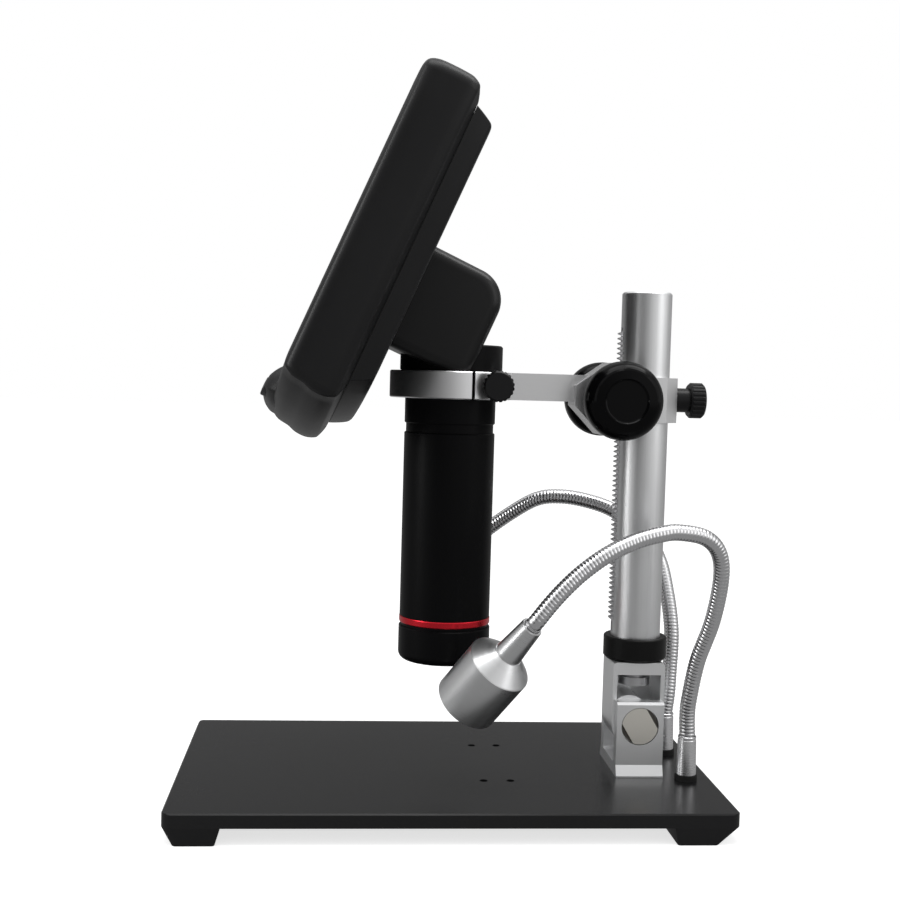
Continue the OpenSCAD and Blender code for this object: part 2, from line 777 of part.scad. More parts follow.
module carriage_housing() {
    color("#c6c8ca") difference() {
        union() {
            translate([column_x, 0, carriage_bottom]) linear_extrude(carriage_h) carriage_outline();
            translate([pinion_x, 0, pinion_z]) slab_y(boss_w) boss_outline();
            translate([pinion_x, 0, pinion_z]) rod_y(bush_r + 2, -carriage_w / 2, carriage_w / 2);
        }
        translate([column_x, 0, carriage_bottom - 20]) cylinder(r = column_r + run_gap, h = carriage_h + 40);
        // Channel that the rack runs in
        block(
            [pitch_x - 1.2, -rack_w / 2 - 0.3, carriage_bottom - 20],
            [column_x, rack_w / 2 + 0.3, carriage_top + 20]
        );
        translate([pinion_x, 0, pinion_z]) {
            rod_y(shaft_d / 2 + run_gap, -carriage_w, carriage_w);
            for (s = [0, 1]) mirror([0, s, 0])
                rod_y(bush_r + seat_gap, -carriage_w, -carriage_w / 2 + bush_l);
        }
        // Slot for the end of the arm
        block(
            [pinion_x - 2 * boss_reach, -arm_t / 2 - seat_gap, arm_bottom - seat_gap],
            [pinion_x - boss_reach + tenon_l + seat_gap, arm_t / 2 + seat_gap, arm_top + 20]
        );
        translate([column_x, 0, lock_z]) rotate([0, 90, 0])
            cylinder(r = lock_thread_r + run_gap, h = carriage_w, $fn = fine);
        at_arm_screws() rod_y(arm_screw_r + seat_gap, 0, carriage_w);
    }
}

module shaft_bushes() {
    color("#a8895a") translate([pinion_x, 0, pinion_z]) for (s = [0, 1]) mirror([0, s, 0]) difference() {
        rod_y(bush_r, -carriage_w / 2, -carriage_w / 2 + bush_l);
        rod_y(shaft_d / 2 + run_gap, -carriage_w, 0);
    }
}

arm_screw_r = 1.25;

module at_arm_screws() {
    translate([pinion_x - boss_reach + tenon_l / 2 + 0.2, 0, (arm_top + arm_bottom) / 2]) children();
}

module arm_screws() {
    color("#777777") at_arm_screws() difference() {
        rod_y(arm_screw_r, arm_t / 2 - 3, boss_w / 2 - 0.8);
        translate([0, boss_w / 2, 0]) rotate([90, 0, 0]) cylinder(r = 0.7, h = 2, $fn = 6);
    }
}

module support_arm() {
    color("#cbcdcf") difference() {
        union() {
            translate([barrel_x, 0, arm_bottom]) turned([
                [barrel_r, 0], [ring_r - 0.4, 0], [ring_r, 0.4], [ring_r, arm_h - 0.4], [ring_r - 0.4, arm_h],
                [barrel_r, arm_h]
            ]);
            block(
                [barrel_x + barrel_r + 1, -arm_t / 2, arm_bottom],
                [pinion_x - boss_reach + tenon_l, arm_t / 2, arm_top]
            );
        }
        translate([barrel_x, 0, arm_bottom - 1]) cylinder(r = barrel_r + barrel_gap, h = arm_h + 2);
        block(
            [barrel_x + slit_dx - slit_w / 2, -ring_r - 1, arm_bottom - 1],
            [barrel_x + slit_dx + slit_w / 2, 0, arm_top + 1]
        );
        at_ring_screw() rod_y(ring_screw_r + run_gap, -ring_r, 0);
        at_arm_screws() rod_y(arm_screw_r + seat_gap, arm_t / 2 - 3.2, arm_t);
    }
}

barrel_gap = 0.08;

module at_ring_screw() {
    translate([barrel_x + ring_screw_dx, 0, (arm_top + arm_bottom) / 2]) children();
}

// ---------- focus shaft ----------

// Outline of the pinion: slim teeth round a root circle
module pinion_outline() {
    root = pinion_r - 1.15 * gear_m;
    tip = pinion_r + 0.95 * gear_m;
    union() {
        circle(r = root, $fn = 48);
        for (i = [0:pinion_n - 1]) rotate(360 * i / pinion_n) polygon([
            [root - 0.4, -0.36], [root, -0.38], [pinion_r, -0.36], [pinion_r + 0.3, -0.28], [tip, -0.15],
            [tip, 0.15], [pinion_r + 0.3, 0.28], [pinion_r, 0.36], [root, 0.38], [root - 0.4, 0.36]
        ]);
    }
}

pinion_l = rack_w + 1;

module pinion_shaft() {
    color("#9a9c9e") translate([pinion_x, 0, pinion_z]) {
        slab_y(pinion_l) pinion_outline();
        for (s = [0, 1]) mirror([0, s, 0]) rod_y(shaft_d / 2, -knob_span / 2 + 4, -pinion_l / 2 + eps);
    }
}

// One knob, turned about the shaft: a rounded disc with a hub and a stepped face
module knob(side) {
    r = knob_d / 2;
    out = knob_span / 2;
    bore = shaft_d / 2 + seat_gap;
    color("#151515") translate([pinion_x, 0, pinion_z]) rotate([side * 90, 0, 0]) turned(concat(
        [
            [0, out - 3.5], [bore, out - 3.5], [bore, carriage_w / 2 + 0.4], [6.2, carriage_w / 2 + 0.4],
            [6.2, out - 12.6]
        ],
        arc([r - 4.6, out - 8.4], 4.6, -75, 0, 8),
        arc([r - 6.3, out - 6.3], 6.3, 0, 62, 8),
        [[8.2, out - 0.1], [7.8, out - 0.5], [7.4, out - 0.7], [0, out - 0.7]]
    ));
}

// ---------- screws that are turned by hand ----------

lock_thread_r = 3;

// A knurled head: a chamfered disc with grooves round its edge
module knurled(r, h, grooves = 24) {
    difference() {
        turned([[0, 0], [r - 0.8, 0], [r, 0.8], [r, h - 0.8], [r - 0.8, h], [0, h]]);
        for (i = [0:grooves - 1]) rotate(360 * i / grooves) translate([r + 0.25, 0, -eps])
            cylinder(r = 0.6, h = h + 2 * eps, $fn = 16);
    }
}

module lock_screw() {
    color("#191919") translate([column_x, 0, lock_z]) rotate([0, 90, 0]) {
        translate([0, 0, column_r + 0.08]) cylinder(r = lock_thread_r, h = carriage_side + 0.1, $fn = fine);
        translate([0, 0, carriage_reach + 0.1]) cylinder(r = 4.6, h = 6);
        translate([0, 0, carriage_reach + 6]) knurled(lock_head_d / 2, 5.8);
    }
}

module ring_screw() {
    tip = -sqrt(pow(barrel_r + barrel_gap, 2) - pow(ring_screw_dx - ring_screw_r, 2)) - 0.1;
    shoulder = -sqrt(pow(ring_r, 2) - pow(ring_screw_dx - ring_shoulder_r, 2)) - 0.1;
    head = shoulder - 1.3;
    color("#191919") at_ring_screw() {
        rod_y(ring_screw_r, shoulder - eps, tip);
        rod_y(ring_shoulder_r, head - eps, shoulder);
        translate([0, head, 0]) rotate([90, 0, 0]) knurled(ring_head_d / 2, 3.8, 20);
    }
}

// ---------- optical head ----------

module head_cap() {
    color("#151515") translate([barrel_x, 0, 0]) turned([
        [spigot_r + seat_gap, cap_z0], [cap_r - 0.3, cap_z0], [cap_r, cap_z0 + 0.3], [cap_r, cap_z1 - 0.6],
        [cap_r - 0.6, cap_z1], [7, cap_z1], [7, cap_z1 - 2.8], [spigot_r + seat_gap, cap_z1 - 2.8]
    ]);
}

module barrel_body() {
    r = barrel_r;
    color("#1a1a1a") translate([barrel_x, 0, 0]) turned([
        [cell_r + barrel_gap, sleeve_z0 + 4.5], [core_r, sleeve_z0 + 4.5], [core_r, groove_bottom],
        [r - 0.6, groove_bottom], [r - 0.6, groove_top], [r - 0.3, groove_top], [r, groove_top + 0.3],
        [r, cap_z0 - seat_gap], [spigot_r, cap_z0 - seat_gap], [spigot_r, cap_z1 - 2.9], [head_bore_r, cap_z1 - 2.9],
        [head_bore_r, groove_top], [cell_r + barrel_gap, groove_bottom - 3]
    ]);
}

module focus_sleeve() {
    r = barrel_r;
    in = core_r + barrel_gap;
    color("#1a1a1a") translate([barrel_x, 0, 0]) turned([
        [in, nose_z0 + 5], [spigot_r - 0.4, nose_z0 + 5], [spigot_r - 0.4, sleeve_z0], [r - 0.2, sleeve_z0],
        [r, sleeve_z0 + 0.2], [r, groove_bottom - 0.4], [r - 0.3, groove_bottom - 0.1], [in, groove_bottom - 0.1]
    ]);
}

module red_ring() {
    color("#b5202c") translate([barrel_x, 0, 0]) turned([
        [spigot_r - 0.38, red_z0 + seat_gap], [barrel_r, red_z0 + seat_gap], [barrel_r + 0.15, red_z0 + 0.3],
        [barrel_r + 0.15, sleeve_z0 - 0.3], [barrel_r, sleeve_z0 - seat_gap], [spigot_r - 0.38, sleeve_z0 - seat_gap]
    ]);
}

module nose_cap() {
    in = spigot_r - 0.38;
    color("#1a1a1a") translate([barrel_x, 0, 0]) turned(concat(
        [[window_r - 2, nose_z0 + 0.6], [window_r - 1.4, nose_z0]],
        arc([nose_r - nose_corner_r, nose_z0 + nose_corner_r], nose_corner_r, 270, 360, 7),
        [
            [nose_r, nose_z1 - 0.3], [nose_r - 0.3, nose_z1], [barrel_r - 0.5, nose_z1], [barrel_r - 0.5, red_z0],
            [in, red_z0], [in, nose_z0 + 4.2], [window_r, nose_z0 + 4.2], [window_r, nose_z0 + 2.6],
            [window_r - 2, nose_z0 + 2.6]
        ]
    ));
}

module nose_window() {
    color("#dfe8ec") translate([barrel_x, 0, nose_z0 + 2.6 + seat_gap]) cylinder(r = window_r - 0.05, h = 1.5);
}

lens_cell_z = sleeve_z0 + 17;
lens_cell_l = 20;

module lens_cell() {
    color("#26282a") translate([barrel_x, 0, lens_cell_z]) turned([
        [lens_r - 1.5, 0], [cell_r, 0], [cell_r, lens_cell_l], [lens_r, lens_cell_l], [lens_r, 3], [lens_r - 1.5, 3]
    ]);
}

module objective_lens() {
    color("#dfe8f2") translate([barrel_x, 0, lens_cell_z + 3]) turned([
        [0, -0.8], [lens_r * 0.4, -0.65], [lens_r - 1.6, 0.02], [lens_r - 0.03, 0.02], [lens_r - 0.03, 3.2],
        [lens_r * 0.6, 4], [0, 4.5]
    ]);
}

// ---------- screen housing ----------

// Puts a shape on the screen: x is depth behind the face, y is across, z is up the face
module on_screen() {
    translate([lcd_x, 0, lcd_z]) rotate([0, lcd_lean, 0]) children();
}

housing_low_r = 4;
housing_top_r = 5;

// One half of the housing's outline, from the chin's middle to the middle of the top edge
function half_outline(inset) = let (
    half = lcd_w / 2,
    low_r = max(housing_low_r - inset, 0.6),
    top_r = max(housing_top_r - inset, 0.6),
    sweep = half - 7
) concat(
    [for (i = [0:9]) let (y = (sweep - inset) * i / 10) [y, inset - lcd_down + chin_rise * pow(y / sweep, 2)]],
    arc([half - inset - low_r, low_r + inset - lcd_down + chin_rise - 0.5], low_r, -62, 0, 7),
    arc([half - inset - top_r, lcd_up - inset - top_r], top_r, 0, 90, 8)
);

function whole_outline(inset) = let (h = half_outline(inset))
    concat(h, [for (i = [len(h) - 1:-1:1]) [-h[i].x, h[i].y]]);

// A thin sheet of an outline in y and z, at one depth
module sheet(depth, points) {
    translate([depth, 0, 0]) rotate([90, 0, 90]) linear_extrude(eps) polygon(points);
}

// A lozenge with round ends, for the chin's raised middle
function pad_outline(half, low, high) = let (r = (high - low) / 2)
    concat(arc([half - r, low + r], r, -90, 90, 10), arc([r - half, low + r], r, 90, 270, 10));

// A flat box on the screen between two depths
module tray(d0, d1, half, low, high) {
    block([d0, -half, low], [d1, half, high]);
}

// Depth and inset of each step of the front frame's rounded edge
frame_steps = [
    [face_d, 9], [face_d + 0.5, 4], [face_d + 1.7, 1.5], [face_d + 4.6, 0.3], [face_d + 11.6, 0],
    [frame_t - 4.8, 0.4], [frame_t - 2.3, 1.8], [frame_t - 1.4, 4], [frame_t, 8.2]
];
cover_steps = [[frame_t + seat_gap, 8.4], [lcd_t - 2.4, 11.6], [lcd_t - 0.8, 13.5], [lcd_t, 16]];
// Depth, half-width, lower and upper edge of each step of the chin's raised middle
chin_steps = [
    [-chin_proud, 24, -1.8, 1.8], [0.9 - chin_proud, 29, -4.5, 6], [2.6 - chin_proud, 34, -6.6, 9.6],
    [face_d, 38, -8, 12], [6, 40, -9.3, 12.7]
];
inner_half = lcd_w / 2 - 9.5;
glass_margin = 2.5;
hollow_low = window_mid - window_h / 2 - 10;
glass_t = 1.1;
key_half = 34;

module lcd_front_frame() {
    color("#191919") on_screen() difference() {
        union() {
            hull() for (s = frame_steps) sheet(s[0], whole_outline(s[1]));
            hull() for (s = chin_steps) sheet(s[0], pad_outline(s[1], key_z + s[2], key_z + s[3]));
        }
        tray(panel_d, frame_t + 1, inner_half, hollow_low, window_mid + window_h / 2 + 8);
        tray(-1, panel_d + 1, window_w / 2, window_mid - window_h / 2, window_mid + window_h / 2);
        tray(
            -1, face_d + 0.2 + glass_t, window_w / 2 + glass_margin, window_mid - window_h / 2 - glass_margin,
            window_mid + window_h / 2 + glass_margin
        );
        tray(button_floor, key_board_d, key_half - 2, key_z - 3.8, key_z + 5.2);
        tray(key_board_d, key_board_d + 5, key_half, key_z - 3.8, hollow_low + 1);
        for (i = [-2:2]) translate([-5, i * button_pitch, key_z]) rotate([0, 90, 0])
            cylinder(r = button_d / 2 + 0.1, h = 10);
        block([port_d, inner_half - 1, port_u - port_w / 2], [board_d, lcd_w, port_u + port_w / 2]);
    }
}

module screen_glass() {
    g = glass_margin - 0.05;
    color("#0c0f12") on_screen() tray(
        face_d + 0.2, face_d + 0.2 + glass_t - seat_gap, window_w / 2 + g, window_mid - window_h / 2 - g,
        window_mid + window_h / 2 + g
    );
}

module display_panel() {
    color("#222831") on_screen() tray(
        panel_d + seat_gap, panel_d + panel_t, window_w / 2 + 2.5, window_mid - window_h / 2 - 4,
        window_mid + window_h / 2 + 4
    );
}

module lcd_rear_cover() {
    floor_d = lcd_t - 2.7;
    color("#191919") on_screen() difference() {
        union() {
            difference() {
                hull() for (s = cover_steps) sheet(s[0], whole_outline(s[1]));
                tray(frame_t - 1, floor_d, inner_half - 12, -34, 46);
            }
            at_board_posts() rotate([0, 90, 0]) cylinder(r = 3, h = floor_d - board_d - board_t + eps);
        }
        at_board_posts() rotate([0, 90, 0]) cylinder(r = 1.25 + seat_gap, h = board_screw_l, $fn = fine);
        rotate([0, 90, 0]) cylinder(r = 8, h = lcd_t + 1);
    }
}

module at_board_posts() {
    for (sy = [-1, 1]) for (u = [-24, 40]) translate([board_d + board_t, sy * 48, u]) children();
}

board_screw_l = 6;

module main_board() {
    color("#1d5a3a") on_screen() difference() {
        tray(board_d, board_d + board_t, inner_half - 0.5, -34, 54);
        at_board_posts() rotate([0, 90, 0]) translate([0, 0, -board_t - 1])
            cylinder(r = 1.25 + seat_gap, h = board_t + 2, $fn = fine);
    }
}

module board_screws() {
    color("silver") on_screen() at_board_posts() rotate([0, 90, 0]) {
        translate([0, 0, -board_t - 1.6]) cylinder(r = 2.4, h = 1.6 - seat_gap, $fn = fine);
        translate([0, 0, -board_t - seat_gap * 2]) cylinder(r = 1.25, h = board_t + board_screw_l - 1, $fn = fine);
    }
}

module key_board() {
    color("#1d5a3a") on_screen() {
        tray(key_board_d + seat_gap, key_board_d + board_t, key_half - 0.2, key_z - 3.6, key_z + 5);
        for (i = [-2:2]) tray_at(i);
    }
}

// One small switch under a button
module tray_at(i) {
    translate([key_board_d + seat_gap * 2 - 0.8, i * button_pitch - 1.6, key_z - 1.6]) cube([0.8, 3.2, 3.2]);
}

module push_button(i) {
    r = button_d / 2;
    front = -chin_proud - button_proud;
    color("#2a2a2a") on_screen() translate([0, (i - 3) * button_pitch, key_z]) rotate([0, 90, 0]) turned([
        [0, front - 0.15], [r * 0.6, front - 0.1], [r - 0.3, front], [r, front + 0.3], [r, button_floor + 0.1],
        [r + 0.35, button_floor + 0.1], [r + 0.35, button_floor + 1], [1.5, button_floor + 1],
        [1.5, key_board_d - 0.8 - button_travel - 0.2], [0, key_board_d - 0.8 - button_travel - 0.2]
    ]);
}

port_d = 10.4;
port_u = 12;
port_w = 9.4;

module port_socket() {
    color("#b8babc") on_screen() difference() {
        block([port_d + 0.2, inner_half - 6.5, port_u - 4.5], [board_d - seat_gap, inner_half + 2, port_u + 4.5]);
        block([port_d + 0.7, inner_half - 4, port_u - 4], [board_d - 0.5, inner_half + 3, port_u + 4]);
    }
}

// Side view of the neck: depth runs to the right and the face runs up
module neck_side(inset) {
    rear = neck_reach - inset;
    top = neck_high - inset;
    r = max(neck_corner_r - inset, 1);
    polygon(concat(
        [[lcd_t + seat_gap, inset - neck_low], [rear - 2, inset - neck_low], [rear, inset + 2 - neck_low]],
        arc([rear - r, top - r], r, 0, 90, 10),
        [[lcd_t + seat_gap, top + 0.4]]
    ));
}

// Half-width and inset of each step of the neck's rounded sides
neck_steps = [[0, 3], [0.4, 1.7], [1.2, 0.6], [3, 0]];

module neck_housing() {
    half = neck_w / 2;
    color("#191919") difference() {
        on_screen() hull() for (s = neck_steps) slab_y(2 * (half - s[0])) neck_side(s[1]);
        on_screen() slab_y(neck_w - 5) offset_neck();
        translate([barrel_x, 0, cap_z0 - 60]) cylinder(r = cap_r + run_gap, h = 60 + cap_z1 - cap_z0 + seat_gap);
        translate([barrel_x, 0, cap_z0 - 60]) cube([200, 100, 120], center = true);
    }
}

// The hollow inside the neck, open to the rear cover's hole and to the cap
module offset_neck() {
    polygon([
        [lcd_t - 1, -12], [neck_reach - 12, -30], [neck_reach - 2.5, -30], [neck_reach - 2.5, 8],
        [neck_reach - 8, 17], [lcd_t + 2.5, 17], [lcd_t + 2.5, 8], [lcd_t - 1, 8]
    ]);
}

module sensor_board() {
    color("#1d5a3a") translate([barrel_x, 0, cap_z1 + seat_gap]) {
        block([-9, -13, 0], [7, 13, board_t]);
        block([-4.8, -4.8, -1], [4.8, 4.8, eps]);
    }
}

// ---------- what is drawn ----------

base_plate();
base_feet();
foot_screws();
clevis_bracket();
bracket_screws();
tilt_pin();
tilt_nut();
lamp_grommets();
lamp_base_nuts();
lamp_socket(-1);  // front_lamp_socket
lamp_socket(1);  // rear_lamp_socket
front_gooseneck();
rear_gooseneck();
lamp_ferrule(front_rim, front_dir);  // front_lamp_ferrule
lamp_ferrule(rear_rim, rear_dir);  // rear_lamp_ferrule
lamp_shell(front_rim, front_dir);  // front_lamp_shell
lamp_shell(rear_rim, rear_dir);  // rear_lamp_shell
lamp_lenses();
lamp_led_boards();
column_foot();
column_bolt();
column_collar();
column_rod();
rack_bar();
rack_screws();
carriage_housing();
shaft_bushes();
support_arm();
arm_screws();
pinion_shaft();
knob(1);  // front_knob
knob(-1);  // rear_knob
lock_screw();
ring_screw();
head_cap();
barrel_body();
neck_housing();
lcd_rear_cover();
lcd_front_frame();
display_panel();
screen_glass();
main_board();
board_screws();
key_board();
sensor_board();
port_socket();
focus_sleeve();
red_ring();
nose_cap();
nose_window();
lens_cell();
objective_lens();
push_button(1);  // button_1
push_button(2);  // button_2
push_button(3);  // button_3
push_button(4);  // button_4
push_button(5);  // button_5
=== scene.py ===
"""Looks of a small digital microscope: a screen head in a ring arm on a rack-and-pinion column, with two lamps.

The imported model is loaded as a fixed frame, and each of its parts gets its finish. The parts that need more than a
plain solid (the feet, the tilt pin and its nut, the screen housing, the neck and the wound goosenecks) are built
here and stand for theirs. Sizes are in millimetres and are turned into metres where points are made.
"""

from __future__ import annotations

import json
import logging
import math
from collections.abc import Callable, Iterable, Sequence
from dataclasses import dataclass
from enum import Enum
from typing import ClassVar

import bmesh
import bpy
from mathutils import Matrix, Quaternion, Vector

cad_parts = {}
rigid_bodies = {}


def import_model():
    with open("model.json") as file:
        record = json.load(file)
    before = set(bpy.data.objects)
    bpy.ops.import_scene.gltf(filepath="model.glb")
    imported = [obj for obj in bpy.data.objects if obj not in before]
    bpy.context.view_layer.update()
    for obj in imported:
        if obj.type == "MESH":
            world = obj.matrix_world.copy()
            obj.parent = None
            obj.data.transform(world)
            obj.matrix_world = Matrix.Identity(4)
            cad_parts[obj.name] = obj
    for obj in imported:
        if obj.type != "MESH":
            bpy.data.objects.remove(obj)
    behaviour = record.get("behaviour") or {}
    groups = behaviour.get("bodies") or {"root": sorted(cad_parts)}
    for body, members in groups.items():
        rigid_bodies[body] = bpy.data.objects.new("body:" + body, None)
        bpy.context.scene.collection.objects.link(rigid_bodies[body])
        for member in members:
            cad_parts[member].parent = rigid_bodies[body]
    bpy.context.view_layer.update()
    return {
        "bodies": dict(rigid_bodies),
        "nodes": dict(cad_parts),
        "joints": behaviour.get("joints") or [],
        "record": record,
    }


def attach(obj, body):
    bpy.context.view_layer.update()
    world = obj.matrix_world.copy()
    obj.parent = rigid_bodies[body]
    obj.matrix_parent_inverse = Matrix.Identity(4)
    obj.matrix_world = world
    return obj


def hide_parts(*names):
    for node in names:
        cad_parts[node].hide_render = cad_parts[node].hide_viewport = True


LOG = logging.getLogger("microscope")
MM = 0.001
WHITE = (1.0, 1.0, 1.0, 1.0)
SQUARE = ((-1, -1), (1, -1), (1, 1), (-1, 1))

Point2 = tuple[float, float]
Triple = tuple[float, float, float]
Colour = Triple
Face = tuple[int, ...]
Piece = bpy.types.Object
Sockets = dict[str | int, object]


# ---- node arithmetic


def _operator(operation: str, swapped: bool = False) -> Callable[..., Signal]:
    """Makes a method of Signal that stands for one Math node.

    Args:
        operation: The node's operation.
        swapped: Whether the other term comes first.

    Returns:
        The method, which takes the other term if there is one.
    """

    def method(self: Signal, *others: Term) -> Signal:
        """Adds the node and returns its output."""
        terms = (*others, self) if swapped else (self, *others)
        return self.sheet.signal("ShaderNodeMath", {"operation": operation}, dict(enumerate(terms)))

    return method


class Signal:
    """One output socket of a node tree, which takes part in arithmetic on values.

    A comparison gives one where it holds and zero elsewhere. The size is the absolute value, angles are in
    radians, and or_more gives the greater of the two.
    """

    __add__ = _operator("ADD")
    __radd__ = _operator("ADD", swapped=True)
    __sub__ = _operator("SUBTRACT")
    __rsub__ = _operator("SUBTRACT", swapped=True)
    __mul__ = _operator("MULTIPLY")
    __truediv__ = _operator("DIVIDE")
    __gt__ = _operator("GREATER_THAN")
    __lt__ = _operator("LESS_THAN")
    size = _operator("ABSOLUTE")
    sine = _operator("SINE")
    cosine = _operator("COSINE")
    power = _operator("POWER")
    or_more = _operator("MAXIMUM")

    def __init__(self, sheet: NodeSheet, socket: bpy.types.NodeSocket) -> None:
        """Keeps the socket and the sheet that new nodes go to."""
        self.sheet, self.socket = sheet, socket


Term = Signal | float


class NodeSheet:
    """A node tree that is filled by one general method."""

    def __init__(self, tree: bpy.types.NodeTree) -> None:
        """Keeps the tree that the nodes go to."""
        self.tree = tree

    def node(
        self, kind: str, settings: dict[str, object] | None = None, sockets: Sockets | None = None
    ) -> bpy.types.Node:
        """Adds a node.

        Args:
            kind: The node's type name.
            settings: Its own settings, which are set first.
            sockets: Values or links of its input sockets, by name or number.

        Returns:
            The new node.
        """
        made = self.tree.nodes.new(kind)
        for key, value in (settings or {}).items():
            setattr(made, key, value)
        for key, value in (sockets or {}).items():
            self.feed(made, key, value)
        return made

    def signal(
        self,
        kind: str,
        settings: dict[str, object] | None = None,
        sockets: Sockets | None = None,
        output: str | int = 0,
    ) -> Signal:
        """Adds a node and returns one of its outputs."""
        return Signal(self, self.node(kind, settings, sockets).outputs[output])

    def vector(self, operation: str, sockets: Sockets, output: str = "Vector") -> Signal:
        """Adds a Vector Math node and returns its vector, or its value."""
        return self.signal("ShaderNodeVectorMath", {"operation": operation}, sockets, output)

    def feed(self, node: bpy.types.Node, key: str | int, value: object) -> None:
        """Links a signal to a node's input socket, or sets the socket's own value.

        Args:
            node: The node.
            key: The socket's name or number.
            value: The signal, or the value.
        """
        if isinstance(value, Signal):
            self.tree.links.new(value.socket, node.inputs[key])
        else:
            node.inputs[key].default_value = value


class Pattern(NodeSheet):
    """The node tree of one material, with the patterns that the finishes share."""

    def __init__(self, name: str) -> None:
        """Makes an empty material.

        Args:
            name: The material's name.
        """
        self.material = bpy.data.materials.new(name)
        self.material.use_nodes = True
        self.material.node_tree.nodes.clear()
        super().__init__(self.material.node_tree)

    def place(self) -> Signal:
        """Place on the object, in metres."""
        return self.signal("ShaderNodeTexCoord", output="Object")

    def placed(
        self, centre: Sequence[float] = (0, 0, 0), turn: Triple = (0, 0, 0), scale: Triple = (1, 1, 1)
    ) -> Signal:
        """Place as seen from a centre, turned so that the piece's own axes are the pattern's axes.

        Args:
            centre: Origin of the pattern, in metres.
            turn: Euler angles of the piece, in radians.
            scale: How far the pattern is stretched along each of its axes.

        Returns:
            The place in the pattern's axes, in metres times the inverse of scale.
        """
        return self.signal(
            "ShaderNodeMapping",
            {"vector_type": "TEXTURE"},
            {"Vector": self.place(), "Location": centre, "Rotation": turn, "Scale": scale},
        )

    def noise(self, vector: Signal, scale: float, detail: float = 2.0, roughness: float = 0.5) -> Signal:
        """Smooth noise from 0 to 1 over a vector."""
        return self.signal(
            "ShaderNodeTexNoise",
            sockets={"Vector": vector, "Scale": scale, "Detail": detail, "Roughness": roughness},
        )

    def line_noise(self, along: Signal, scale: float, detail: float = 2.0) -> Signal:
        """Noise that changes along one value only."""
        return self.signal(
            "ShaderNodeTexNoise",
            {"noise_dimensions": "1D"},
            {"W": along, "Scale": scale, "Detail": detail, "Roughness": 0.6},
        )

    def parts(self, vector: Signal) -> tuple[Signal, Signal, Signal]:
        """X, Y and Z of a vector."""
        node = self.node("ShaderNodeSeparateXYZ", sockets={0: vector})
        return Signal(self, node.outputs[0]), Signal(self, node.outputs[1]), Signal(self, node.outputs[2])

    def blend(self, factor: Term, first: Colour | Signal, second: Colour | Signal) -> Signal:
        """Mixes two colours.

        Args:
            factor: The share of the second, from 0 to 1.
            first: The colour at 0.
            second: The colour at 1.

        Returns:
            The mixed colour.
        """
        colours = [c if isinstance(c, Signal) else (*c, 1.0) for c in (first, second)]
        node = self.node("ShaderNodeMix", {"data_type": "RGBA"}, {0: factor, 6: colours[0], 7: colours[1]})
        return Signal(self, node.outputs[2])

    def bump(self, height: Signal, depth: float, below: Signal | None = None) -> Signal:
        """A surface relief.

        Args:
            height: Height from 0 to 1.
            depth: Depth of the relief, in millimetres.
            below: A relief that this one lies on.

        Returns:
            The normal.
        """
        sockets: dict[str | int, object] = {"Height": height, "Distance": depth * MM, "Strength": 1.0}
        if below is not None:
            sockets["Normal"] = below
        return self.signal("ShaderNodeBump", sockets=sockets)

    def show(self, surface: Signal) -> None:
        """Ends the material with this surface."""
        self.node("ShaderNodeOutputMaterial", sockets={"Surface": surface})


# ---- finishes


@dataclass(frozen=True)
class Finish:
    """A surface finish: one Principled shader whose look varies a little over the piece."""

    name: str
    colour: Colour
    roughness: float = 0.5
    metallic: float = 0.0
    specular: float = 0.5

    def material(self) -> bpy.types.Material:
        """Makes the material on the first call.

        Returns:
            The material that has this finish's name.
        """
        ready = bpy.data.materials.get(self.name)
        if ready is not None:
            return ready
        pattern = Pattern(self.name)
        plain: Sockets = {
            "Base Color": (*self.colour, 1.0),
            "Roughness": self.roughness,
            "Metallic": self.metallic,
            "Specular IOR Level": self.specular,
        }
        shader = pattern.node("ShaderNodeBsdfPrincipled", sockets=plain)
        for key, value in self.vary(pattern).items():
            pattern.feed(shader, key, value)
        pattern.show(Signal(pattern, shader.outputs["BSDF"]))
        return pattern.material

    def vary(self, pattern: Pattern) -> Sockets:
        """Makes what changes over the surface. Each kind of finish has its own.

        Args:
            pattern: The material's nodes.

        Returns:
            The shader inputs that it sets.
        """
        raise NotImplementedError

    def shade(self, amount: float) -> Colour:
        """The colour made lighter by a share, or darker by a negative one."""
        return tuple(min(1.0, c * (1.0 + amount)) for c in self.colour)


@dataclass(frozen=True)
class Grained(Finish):
    """A surface with a fine even grain and slow clouds.

    Its shares say how much the clouds and the grain change the tone and the roughness.
    """

    clouds: Triple = (34.0, 4.0, 0.65)
    grain: float = 3800.0
    grain_roughness: float = 0.7
    tones: Point2 = (-0.15, 0.15)
    tone_shares: Point2 = (1.0, 0.0)
    roughness_shares: Point2 = (0.12, 0.08)
    depth: float = 0.008
    specks: bool = False

    def vary(self, pattern: Pattern) -> Sockets:
        """Makes the clouds, the grain and any sparse lighter specks.

        Args:
            pattern: The material's nodes.

        Returns:
            The shader inputs that it sets.
        """
        place = pattern.place()
        clouds = pattern.noise(place, *self.clouds)
        grain = pattern.noise(place, self.grain, 2.0, self.grain_roughness)
        tone = (clouds - 0.5) * self.tone_shares[0] + (grain - 0.5) * self.tone_shares[1] + 0.5
        colour = pattern.blend(tone, self.shade(self.tones[0]), self.shade(self.tones[1]))
        if self.specks:
            speck = pattern.noise(place, 5200.0, 1.0) > 0.71
            colour = pattern.blend(speck * 0.5, colour, self.shade(0.7))
        rough = (clouds - 0.5) * self.roughness_shares[0] + (grain - 0.5) * self.roughness_shares[1]
        normal = pattern.bump(grain, self.depth)
        return {"Base Color": colour, "Roughness": self.roughness + rough, "Normal": normal}


